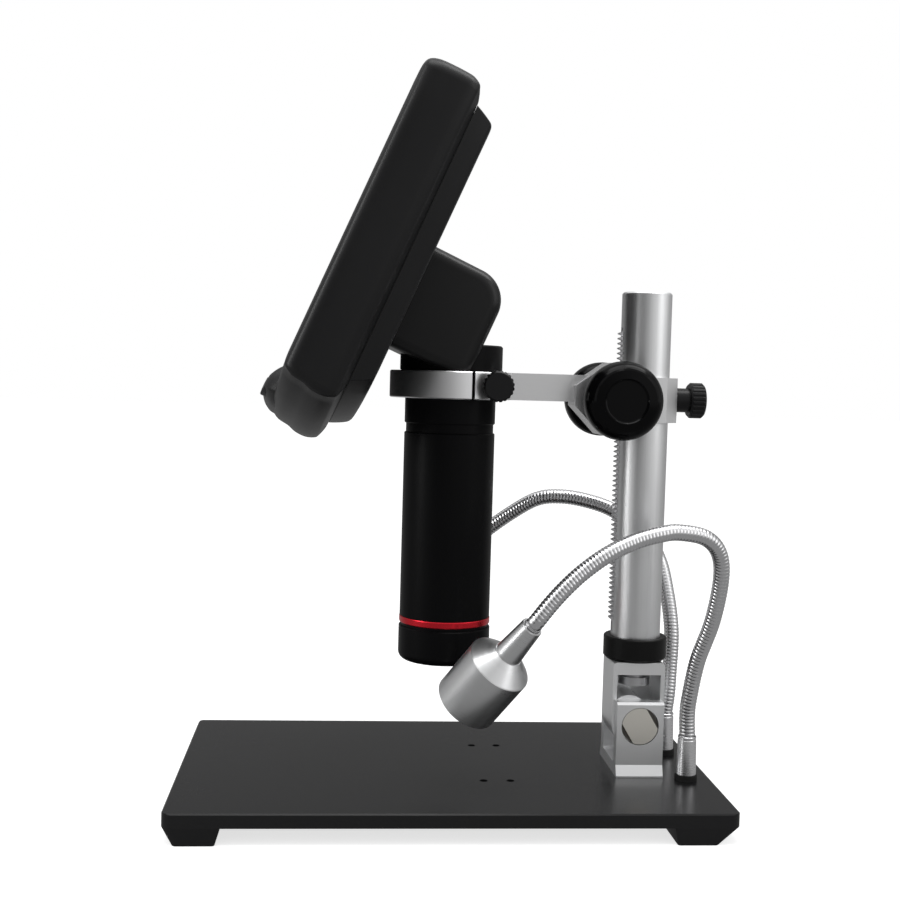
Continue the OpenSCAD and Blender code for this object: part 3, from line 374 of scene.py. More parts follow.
@dataclass(frozen=True)
class PowderCoat(Grained):
    """Baked powder paint with a fine pebbled skin."""

    clouds: Triple = (22.0, 3.0, 0.5)
    grain: float = 2600.0
    grain_roughness: float = 0.5
    tones: Point2 = (-0.12, 0.12)
    roughness_shares: Point2 = (0.1, 0.12)
    depth: float = 0.018
    specks: bool = True


@dataclass(frozen=True)
class MouldedPlastic(Grained):
    """Injection-moulded plastic with a fine spark-eroded texture."""


@dataclass(frozen=True)
class BlastedMetal(Grained):
    """Bead-blasted and anodised aluminium, or plated steel, with a fine even grain."""

    clouds: Triple = (55.0, 4.0, 0.5)
    grain: float = 5200.0
    grain_roughness: float = 0.65
    tones: Point2 = (-0.08, 0.08)
    tone_shares: Point2 = (0.5, 0.35)
    roughness_shares: Point2 = (0.1, 0.0)
    depth: float = 0.006


@dataclass(frozen=True)
class Rubber(Grained):
    """Dull black rubber with a faint bloom."""

    clouds: Triple = (120.0, 4.0, 0.6)
    grain: float = 3000.0
    grain_roughness: float = 0.5
    tones: Point2 = (0.0, 0.6)
    roughness_shares: Point2 = (0.1, 0.0)
    depth: float = 0.01


@dataclass(frozen=True)
class TurnedMetal(Finish):
    """Metal or anodised metal cut on a lathe, with fine rings about its own axis, and painted shade within its step of
    the centre.
    """

    centre: Triple = (0.0, 0.0, 0.0)
    turn: Triple = (0.0, 0.0, 0.0)
    rings: float = 4200.0
    slant: float = 0.93
    depth: float = 0.004
    contrast: float = 0.1
    step: float = 0.0
    painted_shade_tone: float = -0.86

    def vary(self, pattern: Pattern) -> Sockets:
        """Makes rings that run round the axis, and painted shade, a darker tone, nearer to the centre than the step.

        Args:
            pattern: The material's nodes.

        Returns:
            The shader inputs that it sets.
        """
        local = pattern.placed([c * MM for c in self.centre], self.turn)
        flat = pattern.vector("MULTIPLY", {0: local, 1: (1.0, 1.0, 0.0)})
        along = pattern.parts(local)[2]
        path = pattern.vector("LENGTH", {0: flat}, "Value") + along * self.slant
        fine = pattern.line_noise(path, self.rings)
        broad = pattern.line_noise(path, self.rings * 0.12)
        clouds = pattern.noise(pattern.place(), 60.0, 3.0)
        tone = (fine - 0.5) * self.contrast + (broad - 0.5) * self.contrast * 0.6 + 0.5
        colour = pattern.blend(tone, self.shade(-0.2), self.shade(0.2))
        # Painted shade: within the step of the centre along the axis the colour is darkened, as if recesses lay in
        # shadow.
        if self.step:
            colour = pattern.blend(along.size() < self.step * MM, colour, self.shade(self.painted_shade_tone))
        rough = (fine - 0.5) * self.contrast * 0.6 + (clouds - 0.5) * 0.06
        normal = pattern.bump(fine, self.depth)
        return {"Base Color": colour, "Roughness": self.roughness + rough, "Normal": normal}


@dataclass(frozen=True)
class DrawnMetal(Finish):
    """Drawn, milled or brushed metal, with fine streaks along one direction."""

    streak: Triple = (1.0, 1.0, 30.0)
    grain: float = 2600.0
    depth: float = 0.003
    contrast: float = 0.08

    def vary(self, pattern: Pattern) -> Sockets:
        """Makes the streaks, and a faint cloudiness of handled metal.

        Args:
            pattern: The material's nodes.

        Returns:
            The shader inputs that it sets.
        """
        streaks = pattern.noise(pattern.placed(scale=self.streak), self.grain, 3.0, 0.6)
        clouds = pattern.noise(pattern.place(), 45.0, 3.0)
        tone = (streaks - 0.5) * self.contrast * 4.0 + (clouds - 0.5) * 0.3 + 0.5
        colour = pattern.blend(tone, self.shade(-0.12), self.shade(0.12))
        rough = (streaks - 0.5) * self.contrast + (clouds - 0.5) * 0.05
        normal = pattern.bump(streaks, self.depth)
        return {"Base Color": colour, "Roughness": self.roughness + rough, "Normal": normal}


@dataclass(frozen=True)
class PanelGlass(Finish):
    """Dark cover glass over a switched-off display, whose picture area shows as a slightly bluer field."""

    centre: Triple = (0.0, 0.0, 0.0)
    lean: float = 0.0
    half_width: float = 54.0
    low: float = -20.0
    high: float = 45.0
    field_colour: Colour = (0.012, 0.016, 0.022)

    def vary(self, pattern: Pattern) -> Sockets:
        """Makes the picture area and faint wipe marks.

        Args:
            pattern: The material's nodes.

        Returns:
            The shader inputs that it sets.
        """
        local = pattern.placed([c * MM for c in self.centre], (0.0, self.lean, 0.0))
        _, across, up = pattern.parts(local)
        middle, half = (self.low + self.high) / 2 * MM, (self.high - self.low) / 2 * MM
        inside = (across.size() < self.half_width * MM) * ((up - middle).size() < half)
        wipe = pattern.noise(local, 40.0, 4.0, 0.7)
        colour = pattern.blend(inside, self.colour, self.field_colour)
        return {"Base Color": colour, "Roughness": self.roughness + (wipe - 0.4) * 0.05}


@dataclass(frozen=True)
class LensGlass(Finish):
    """Clear glass with the faint violet of an anti-reflection coat."""

    tint: Colour = (0.80, 0.78, 0.98)
    index: float = 1.5

    def vary(self, pattern: Pattern) -> Sockets:
        """Makes the coat's colour towards the rim of the view, and faint dust, and lets the light through.

        Args:
            pattern: The material's nodes.

        Returns:
            The shader inputs that it sets.
        """
        facing = pattern.signal("ShaderNodeLayerWeight", sockets={"Blend": 0.35}, output="Facing")
        dust = pattern.noise(pattern.place(), 700.0) > 0.72
        return {
            "Base Color": pattern.blend(facing, self.colour, self.tint),
            "Roughness": self.roughness + dust * 0.1,
            "Transmission Weight": 1.0,
            "IOR": self.index,
        }


@dataclass(frozen=True)
class CircuitBoard(Finish):
    """A solder-masked circuit board with faint copper runs and tinned pads."""

    tin: Colour = (0.62, 0.6, 0.55)

    def vary(self, pattern: Pattern) -> Sockets:
        """Makes the copper runs under the mask and the pads.

        Args:
            pattern: The material's nodes.

        Returns:
            The shader inputs that it sets.
        """
        local = pattern.placed(scale=(MM, MM, MM))
        x, y, z = pattern.parts(local)
        jog = pattern.signal("ShaderNodeTexVoronoi", sockets={"Vector": local, "Scale": 0.35}, output="Distance")
        runs = ((x + z * 0.7 + jog * 1.5) * 4.2).sine() * ((y + jog) * 3.1).sine()
        pad = ((x + z) * 2.4).sine() * (y * 2.4).sine() > 0.93
        tone = pattern.blend(runs > 0.35, self.colour, self.shade(0.7))
        return {"Base Color": pattern.blend(pad, tone, self.tin), "Roughness": self.roughness - pad * 0.15}


@dataclass(frozen=True)
class LampBoard(Finish):
    """The white board of a lamp, whose raised emitter is coated in yellow phosphor."""

    phosphor: Colour = (0.86, 0.66, 0.12)
    emitter_radius: float = 1.85
    emitters: tuple[Triple, ...] = ()

    def vary(self, pattern: Pattern) -> Sockets:
        """Makes everything close to an emitter's centre yellow.

        Args:
            pattern: The material's nodes.

        Returns:
            The shader inputs that it sets.
        """
        place = pattern.place()
        yellow: Term = 0.0
        for centre in self.emitters:
            away = pattern.vector("DISTANCE", {0: place, 1: tuple(c * MM for c in centre)}, "Value")
            yellow = (away < self.emitter_radius * MM) + yellow
        rough = (pattern.noise(place, 2400.0) - 0.5) * 0.1
        return {"Base Color": pattern.blend(yellow, self.colour, self.phosphor), "Roughness": self.roughness + rough}


class Lamp(Enum):
    """The two lamps: their bodies' place and direction, and the line of their goosenecks.

    Each value holds the side of the plate, the socket's place across it, the middle of the rim, the direction from
    the rim to the gooseneck, and the points that the gooseneck passes, counted from the foot of its socket.
    """

    FRONT = (
        "front",
        -17.0,
        (5.1, -28.0, 42.7),
        (0.468, -0.479, 0.742),
        (
            (-0.3, 0, 24), (-0.1, -1, 31), (1.7, -4, 46), (5.3, -9, 62), (6.7, -13, 78), (4.7, -16, 88),
            (-1.5, -19, 94), (-12, -21.3, 96), (-19.3, -23, 95.3), (-28.3, -25, 93), (-38.3, -28, 88.8),
            (-47.3, -30, 82.8), (-54, -31.7, 77), (-59.5, -32.6, 71),
        ),
    )  # fmt: skip
    REAR = (
        "rear",
        17.0,
        (-0.7, 29.5, 58.0),
        (0.40, 0.45, 0.80),
        (
            (0.8, 0, 24), (1.4, 1, 32), (2.2, 3, 49), (0.6, 7, 65), (-2.3, 11.5, 78), (-9.5, 15, 88.5),
            (-20, 17.5, 96), (-30, 20, 99.5), (-41, 23, 101), (-51, 26, 99.5), (-62, 29.5, 92.5),
        ),
    )  # fmt: skip

    def __init__(self, side: str, socket_y: float, rim: Triple, direction: Triple, bends: tuple[Triple, ...]) -> None:
        """Names the parts of the value."""
        self.side, self.socket_y, self.rim, self.direction, self.bends = side, socket_y, rim, direction, bends

    def point(self, along: float) -> Vector:
        """A point on the lamp's axis, a distance from the rim."""
        return Vector(self.rim) + Vector(self.direction).normalized() * along

    def turn(self) -> Triple:
        """Euler angles that carry +Z to the lamp's direction, first about Y and then about Z."""
        x, y, z = Vector(self.direction).normalized()
        return 0.0, math.acos(z), math.atan2(y, x)


PIN_CENTRE = (72.9, 0, 30.2)
KNOB_CENTRE = (60.5, 0, 153.2)
BARREL_CENTRE = (-1.5, 0, 0)
SCREEN_CENTRE = (-46.76, 0, 200)
SCREEN_LEAN = 23.56
ACROSS = (math.pi / 2, 0, 0)
EMITTER_DEPTH = 11.7

BLACK_COAT = PowderCoat("Black powder coat", (0.011, 0.011, 0.0115), 0.24, specular=0.2, depth=0.008)
FOOT_BLACK = MouldedPlastic("Moulded foot black", (0.010, 0.010, 0.0105), 0.55, specular=0.15, grain=2400.0)
ZINC = BlastedMetal("Zinc plated steel", (0.5, 0.5, 0.51), 0.34, metallic=1.0)
SATIN_ALUMINIUM = DrawnMetal(
    "Satin anodised extrusion", (0.82, 0.825, 0.83), 0.36, metallic=0.9, contrast=0.05, depth=0.002
)
# Its step of 13 mm is painted shade: the pin and nut within 13 mm of the fork's middle, such as the floors beside the
# flats, are darkened as if in shadow.
NICKEL = TurnedMetal(
    "Warm nickel plate", (0.92, 0.85, 0.77), 0.36, metallic=1.0, centre=PIN_CENTRE, turn=ACROSS, contrast=0.04,
    depth=0.001, step=13.0,
)  # fmt: skip
GROMMET = Rubber("Black rubber", (0.008, 0.008, 0.008), 0.72, specular=0.2)
COLLAR = BlastedMetal("Black anodised collar", (0.006, 0.006, 0.006), 0.4, specular=0.12)
COLUMN = DrawnMetal(
    "Polished column", (0.70, 0.705, 0.71), 0.36, metallic=1.0, streak=(1.0, 1.0, 80.0), grain=1500.0, depth=0.02,
    contrast=0.14,
)  # fmt: skip
RACK = DrawnMetal("Bright cut steel", (0.5, 0.5, 0.51), 0.3, metallic=1.0, streak=(1.0, 20.0, 1.0))
ARM = DrawnMetal(
    "Brushed arm", (0.76, 0.76, 0.765), 0.34, metallic=1.0, streak=(30.0, 1.0, 1.0), depth=0.0016, contrast=0.06
)
BRASS = TurnedMetal("Turned brass", (0.7, 0.5, 0.22), 0.3, metallic=1.0, centre=KNOB_CENTRE, turn=ACROSS)
KNOB = TurnedMetal(
    "Knob black", (0.002, 0.002, 0.0022), 0.16, specular=0.08, centre=KNOB_CENTRE, turn=ACROSS, depth=0.0015,
    contrast=0.05,
)  # fmt: skip
SCREW_BLACK = BlastedMetal("Knurled black", (0.006, 0.006, 0.0065), 0.3, specular=0.2)
BARREL = TurnedMetal(
    "Satin black barrel", (0.0035, 0.0035, 0.0038), 0.34, specular=0.05, centre=BARREL_CENTRE, depth=0.003
)
RED = TurnedMetal("Anodised red", (0.60, 0.014, 0.026), 0.25, metallic=0.8, centre=BARREL_CENTRE, depth=0.002)
CELL = TurnedMetal("Lens cell black", (0.02, 0.02, 0.022), 0.5, specular=0.3, centre=BARREL_CENTRE)
HOUSING = MouldedPlastic("Housing black", (0.009, 0.009, 0.0095), 0.35, specular=0.2)
# Painted shade: the neck takes the housing's black plastic made darker, so that it reads darker than the housing's
# side.
NECK_SHADED_BLACK = MouldedPlastic("Neck shaded black", (0.006, 0.006, 0.0063), 0.3, specular=0.25)
BUTTON = MouldedPlastic("Button black", (0.03, 0.03, 0.032), 0.42, specular=0.4)
GOOSENECK = BlastedMetal("Wound chrome strip", (0.62, 0.62, 0.63), 0.24, metallic=1.0, grain=900.0, depth=0.002)
GLASS = PanelGlass(
    "Cover glass", (0.004, 0.004, 0.0045), 0.06, specular=0.5, centre=SCREEN_CENTRE, lean=math.radians(SCREEN_LEAN)
)
PANEL = MouldedPlastic("Display panel", (0.02, 0.025, 0.03), 0.3, specular=0.4)
OPTIC = LensGlass("Coated lens", (0.96, 0.97, 0.98), 0.02)
BOARD = CircuitBoard("Green circuit board", (0.012, 0.10, 0.05), 0.35)
PORT = BlastedMetal("Bright sheet steel", (0.55, 0.55, 0.56), 0.3, metallic=1.0)
LAMP_BOARD = LampBoard(
    "Lamp board", (0.82, 0.81, 0.76), 0.45, emitters=tuple(tuple(lamp.point(EMITTER_DEPTH)) for lamp in Lamp)
)


# ---- meshes


def new_object(name: str, points: Iterable[Vector], faces: Iterable[Face], edges: Iterable[Face] = ()) -> Piece:
    """Makes an object from points in millimetres.

    Args:
        name: The object's name.
        points: Its points, in the row frame.
        faces: Its faces, by point number.
        edges: Loose edges, by point number.

    Returns:
        The object, with its doubles merged and its faces pointing outwards.
    """
    mesh = bpy.data.meshes.new(name)
    mesh.from_pydata([tuple(Vector(p) * MM) for p in points], list(edges), [list(f) for f in faces])
    if mesh.polygons:
        draft = bmesh.new()
        draft.from_mesh(mesh)
        bmesh.ops.remove_doubles(draft, verts=draft.verts, dist=1e-7)
        bmesh.ops.recalc_face_normals(draft, faces=draft.faces)
        draft.to_mesh(mesh)
        draft.free()
    made = bpy.data.objects.new(name, mesh)
    bpy.context.scene.collection.objects.link(made)
    return made


def loft(name: str, rings: Sequence[Sequence[Vector]]) -> Piece:
    """Makes a closed solid with flat ends.

    Args:
        name: The solid's name.
        rings: Its cross-sections in order, each of equally many points.

    Returns:
        The solid.
    """
    count = len(rings[0])
    points = [p for ring in rings for p in ring]
    faces: list[Face] = [
        (r * count + k, r * count + (k + 1) % count, (r + 1) * count + (k + 1) % count, (r + 1) * count + k)
        for r in range(len(rings) - 1)
        for k in range(count)
    ]
    faces.append(tuple(range(count)))
    faces.append(tuple(range((len(rings) - 1) * count, len(rings) * count)))
    return new_object(name, points, faces)


def upright(name: str, outline: Sequence[Point2], heights: Point2) -> Piece:
    """Makes a straight solid of one outline between two heights."""
    return loft(name, [[Vector((x, y, z)) for x, y in outline] for z in heights])


def smooth(piece: Piece, angle: float = 32.0) -> None:
    """Shades a piece smooth.

    Args:
        piece: The piece.
        angle: Edges sharper than this many degrees are kept.
    """
    mesh = piece.data
    mesh.polygons.foreach_set("use_smooth", [True] * len(mesh.polygons))
    mesh.set_sharp_from_angle(angle=math.radians(angle))
    mesh.update()


def bake(piece: Piece) -> None:
    """Turns a piece with modifiers into a plain mesh of its own.

    Args:
        piece: The piece.
    """
    graph = bpy.context.evaluated_depsgraph_get()
    mesh = bpy.data.meshes.new_from_object(piece.evaluated_get(graph), depsgraph=graph)
    mesh.name = piece.name
    piece.modifiers.clear()
    piece.data = mesh


def combine(piece: Piece, tools: Sequence[Piece], operation: str = "DIFFERENCE") -> None:
    """Cuts tools out of a piece, or joins them to it, and removes the tools.

    Args:
        piece: The piece.
        tools: The solids that change it.
        operation: The boolean modifier's operation.
    """
    for tool in tools:
        change = piece.modifiers.new("Change", "BOOLEAN")
        change.operation = operation
        change.solver = "EXACT"
        change.object = tool
    bake(piece)
    for tool in tools:
        bpy.data.objects.remove(tool)


def paint(piece: Piece, finish: Finish) -> None:
    """Gives every face of a piece one finish.

    Args:
        piece: The piece, or a CAD node.
        finish: The finish.
    """
    slots = piece.data.materials
    material = finish.material()
    if not slots:
        slots.append(material)
    for index in range(len(slots)):
        slots[index] = material


def catmull(points: Sequence[Vector], steps: int) -> list[Vector]:
    """Draws a smooth line through all the points, by the same rule as the model's own tubes.

    Args:
        points: The points that the line passes.
        steps: How many points there are for each of them.

    Returns:
        The line's points.
    """
    line: list[Vector] = []
    last = len(points) - 1
    for i in range(last):
        a, b, c, d = (points[max(0, min(j, last))] for j in (i - 1, i, i + 1, i + 2))
        for s in range(steps):
            t = s / steps
            line.append(
                0.5 * (2 * b + (c - a) * t + (2 * a - 5 * b + 4 * c - d) * t * t + (3 * b - a - 3 * c + d) * t**3)
            )
    line.append(points[last])
    return line


def arc(centre: Point2, radius: float, start: float, end: float, steps: int) -> list[Point2]:
    """Points of an arc, with its angles in degrees."""
    angles = [math.radians(start + (end - start) * i / steps) for i in range(steps + 1)]
    return [(centre[0] + radius * math.cos(a), centre[1] + radius * math.sin(a)) for a in angles]


def circle(centre: Point2, radius: float, sides: int) -> list[Point2]:
    """Points of a full circle."""
    return arc(centre, radius, 0, 360 - 360 / sides, sides - 1)


class Recipe(NodeSheet):
    """A Geometry Nodes tree that is built here, run once and left as a plain mesh."""

    def __init__(self, name: str) -> None:
        """Makes a tree with one geometry input and one geometry output.

        Args:
            name: The tree's name.
        """
        super().__init__(bpy.data.node_groups.new(name, "GeometryNodeTree"))
        for way in ("INPUT", "OUTPUT"):
            self.tree.interface.new_socket("Geometry", in_out=way, socket_type="NodeSocketGeometry")
        self.entry = self.tree.nodes.new("NodeGroupInput")
        self.leave = self.tree.nodes.new("NodeGroupOutput")
        self.base = Signal(self, self.entry.outputs[0])

    def size(self, name: str) -> Signal:
        """Adds a named size, whose value is given when the tree is run."""
        self.tree.interface.new_socket(name, in_out="INPUT", socket_type="NodeSocketFloat")
        return Signal(self, self.entry.outputs[name])

    def keep(self, geometry: Signal, name: str, value: Signal) -> Signal:
        """Stores a value on the geometry's points under a name."""
        return self.signal(
            "GeometryNodeStoreNamedAttribute",
            {"data_type": "FLOAT", "domain": "POINT"},
            {"Geometry": geometry, "Name": name, "Value": value},
        )

    def kept(self, name: str) -> Signal:
        """A value that was stored under a name."""
        return self.signal("GeometryNodeInputNamedAttribute", {"data_type": "FLOAT"}, {"Name": name})

    def end(self, geometry: Signal, finish: Finish) -> None:
        """Ends the tree: instances are made real and the finish is set.

        Args:
            geometry: What the tree has made.
            finish: Its finish.
        """
        real = self.signal("GeometryNodeRealizeInstances", sockets={0: geometry})
        done = self.signal("GeometryNodeSetMaterial", sockets={"Geometry": real, "Material": finish.material()})
        self.tree.links.new(done.socket, self.leave.inputs[0])

    def run(self, name: str, base: Piece, sizes: dict[str, float]) -> Piece:
        """Runs the tree on a base object.

        Args:
            name: Name of the finished piece.
            base: The object that holds the points or lines; it is removed.
            sizes: Values for the named inputs.

        Returns:
            The finished piece as a plain mesh.
        """
        change = base.modifiers.new("Recipe", "NODES")
        change.node_group = self.tree
        by_name = {s.name: s.identifier for s in self.tree.interface.items_tree if s.in_out == "INPUT"}
        for key, value in sizes.items():
            change[by_name[key]] = value
        graph = bpy.context.evaluated_depsgraph_get()
        mesh = bpy.data.meshes.new_from_object(base.evaluated_get(graph), depsgraph=graph)
        mesh.name = name
        bpy.data.objects.remove(base)
        made = bpy.data.objects.new(name, mesh)
        bpy.context.scene.collection.objects.link(made)
        return made


# ---- sub-assemblies


@dataclass
class Assembly:
    """A sub-assembly: its CAD nodes with the looks of those that are shown, and the pieces that it builds itself."""

    looks: ClassVar[dict[Finish, tuple[str, ...]]] = {}
    nodes: dict[str, Piece]

    def build(self) -> None:
        """Builds the pieces that stand for CAD nodes."""

    def dress(self) -> None:
        """Gives the shown CAD nodes their finishes."""
        for finish, names in self.looks.items():
            for name in names:
                paint(self.nodes[name], finish)

    def add(self, piece: Piece, body: str, slot: str, stands_for: Sequence[str]) -> None:
        """Hands a finished piece to the frame.

        Args:
            piece: The piece, with its place in its mesh.
            body: The body that it rides on.
            slot: The record's material slot for its finish; it is not used.
            stands_for: The CAD nodes that it replaces.
        """
        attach(piece, body)
        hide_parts(*stands_for)
        LOG.info("%s rides on %s: %d faces", piece.name, body, len(piece.data.polygons))


@dataclass
class BaseUnit(Assembly):
    """The steel plate, its four feet and their screws.

    A left or right foot is given by how far its outer side leans in, and by its inner side's distance from the
    plate's edge at the bottom and at the top. The foot depth is the same distance in the other direction. Each
    hole has a radius, a lower and an upper end.
    """

    looks = {BLACK_COAT: ("base_plate",), ZINC: ("foot_screws",)}
    size: Point2 = (200.0, 120.0)
    offset_y: float = 3.5
    foot_height: float = 6.0
    foot_levels: tuple[float, ...] = (0.0, 0.4, 5.6, 6.0)
    left_foot: Triple = (3.9, 18.2, 20.0)
    right_foot: Triple = (7.8, 22.4, 23.4)
    foot_depth: Point2 = (18.4, 21.0)
    corner: Point2 = (1.6, 3.5)
    edge: float = 1.0
    screw_in: float = 11.6
    holes: tuple[Triple, ...] = ((2.95, -1.0, 2.62), (1.55, 2.5, 7.0))

    def foot_ring(self, corner_x: int, corner_y: int, height: float) -> list[Vector]:
        """One level of a foot: flush with the plate in front, leaning in at the side and on the inside.

        Args:
            corner_x: -1 for a left foot, 1 for a right one.
            corner_y: -1 for a front foot, 1 for a rear one.
            height: The level's height.

        Returns:
            The level's outline.
        """
        up = height / self.foot_height
        lean, low_reach, top_reach = self.left_foot if corner_x < 0 else self.right_foot
        low_x, high_x = lean * (1 - up), low_reach + (top_reach - low_reach) * up
        high_y = self.foot_depth[0] + (self.foot_depth[1] - self.foot_depth[0]) * up
        r, edge = self.corner[0] + (self.corner[1] - self.corner[0]) * up, self.edge
        flat = arc((low_x + r, r), r, 180, 270, 8)
        flat += arc((high_x - edge, edge), edge, 270, 360, 3)
        flat += arc((high_x - edge, high_y - edge), edge, 0, 90, 3)
        flat += arc((low_x + edge, high_y - edge), edge, 90, 180, 3)
        side_x, side_y = self.size[0] / 2, self.size[1] / 2
        return [
            Vector((corner_x * (side_x - x), self.offset_y + corner_y * (side_y - y), height)) for x, y in flat
        ]

    def build(self) -> None:
        """Builds the feet, each with the recess and the hole of its screw."""
        feet: list[Piece] = []
        for corner_x, corner_y in SQUARE:
            foot = loft("foot", [self.foot_ring(corner_x, corner_y, z) for z in self.foot_levels])
            x = corner_x * (self.size[0] / 2 - self.screw_in)
            y = self.offset_y + corner_y * (self.size[1] / 2 - self.screw_in)
            combine(foot, [upright("hole", circle((x, y), r, 40), (low, high)) for r, low, high in self.holes])
            feet.append(foot)
        feet[0].name = "corner_feet"
        combine(feet[0], feet[1:], "UNION")
        smooth(feet[0])
        paint(feet[0], FOOT_BLACK)
        self.add(feet[0], "base", "foot_black", ["base_feet"])


@dataclass
class TiltBracket(Assembly):
    """The fork on the plate, its pin and nut, and the column's foot block that tilts in it.

    The pin's head and its nut lie a recess inside the bracket's outside, and each has a step beside each of its
    two flats. The cutters' reach is half their length and how far out they go, and past is how far they pass
    the outside.
    """

    looks = {SATIN_ALUMINIUM: ("clevis_bracket", "column_foot"), ZINC: ("bracket_screws", "column_bolt")}
    pin_at: Point2 = (PIN_CENTRE[0], PIN_CENTRE[2])
    outside: float = 14.0
    head_radius: float = 6.9
    head_flats: float = 10.8
    flats_angle: float = 59.0
    recess: float = 0.3
    head_depth: float = 3.2
    step_depth: float = 1.9
    shank_radius: float = 4.0
    shank_overlap: float = 0.3
    shank_short: float = 0.8
    bore_play: float = 0.02
    reach: Point2 = (9.0, 12.0)
    past: float = 1.0

    def disc(self, name: str, radius: float, front: float, rear: float) -> Piece:
        """A disc about the pin's axis, between two places on it."""
        flat = circle(self.pin_at, radius, 96)
        return loft(name, [[Vector((x, y, z)) for x, z in flat] for y in (front, rear)])

    def head(self, name: str, side: int) -> Piece:
        """Makes the pin's head or its nut.

        Args:
            name: The piece's name.
            side: -1 for the head in front, 1 for the nut at the rear.

        Returns:
            The piece.
        """
        front, rear = side * (self.outside - self.recess), side * (self.outside - self.head_depth)
        made = self.disc(name, self.head_radius, front, rear)
        turn = Matrix.Rotation(math.radians(self.flats_angle), 3, "Y")
        half, far = self.reach
        steps = []
        for s in (-1, 1):
            low, high = sorted((s * self.head_flats / 2, s * far))
            rings = [
                [
                    Vector((self.pin_at[0], side * y, self.pin_at[1])) + turn @ Vector((x, 0, z))
                    for x, z in ((-half, low), (half, low), (half, high), (-half, high))
                ]
                for y in (self.outside - self.step_depth, self.outside + self.past)
            ]
            steps.append(loft("step", rings))
        combine(made, steps)
        return made

    def build(self) -> None:
        """Builds the pin and its nut."""
        pin, nut = self.head("stepped_tilt_pin", -1), self.head("stepped_tilt_nut", 1)
        inner = self.outside - self.head_depth
        shank = self.disc("shank", self.shank_radius, -inner - self.shank_overlap, self.outside - self.shank_short)
        combine(pin, [shank], "UNION")
        combine(nut, [self.disc("bore", self.shank_radius + self.bore_play, 0.0, self.outside + self.past)])
        for piece, node in ((pin, "tilt_pin"), (nut, "tilt_nut")):
            smooth(piece)
            paint(piece, NICKEL)
            self.add(piece, "base", "pin_nickel", [node])


@dataclass
class Column(Assembly):
    """The polished column with its rack and collar."""

    looks = {COLLAR: ("column_collar",), COLUMN: ("column_rod",), RACK: ("rack_bar",), ZINC: ("rack_screws",)}


@dataclass
class FocusDrive(Assembly):
    """The carriage with its knobs and screws, and the arm with its holding ring."""

    looks = {
        ARM: ("carriage_housing", "support_arm"),
        BRASS: ("shaft_bushes",),
        ZINC: ("arm_screws",),
        RACK: ("pinion_shaft",),
        KNOB: ("front_knob", "rear_knob"),
        SCREW_BLACK: ("lock_screw", "ring_screw"),
    }


@dataclass
class OpticalBarrel(Assembly):
    """The barrel in the ring, with its cap, focus sleeve, red ring, nose and lenses."""

    looks = {
        BARREL: ("head_cap", "barrel_body", "focus_sleeve", "nose_cap"),
        RED: ("red_ring",),
        OPTIC: ("nose_window", "objective_lens"),
        CELL: ("lens_cell",),
    }


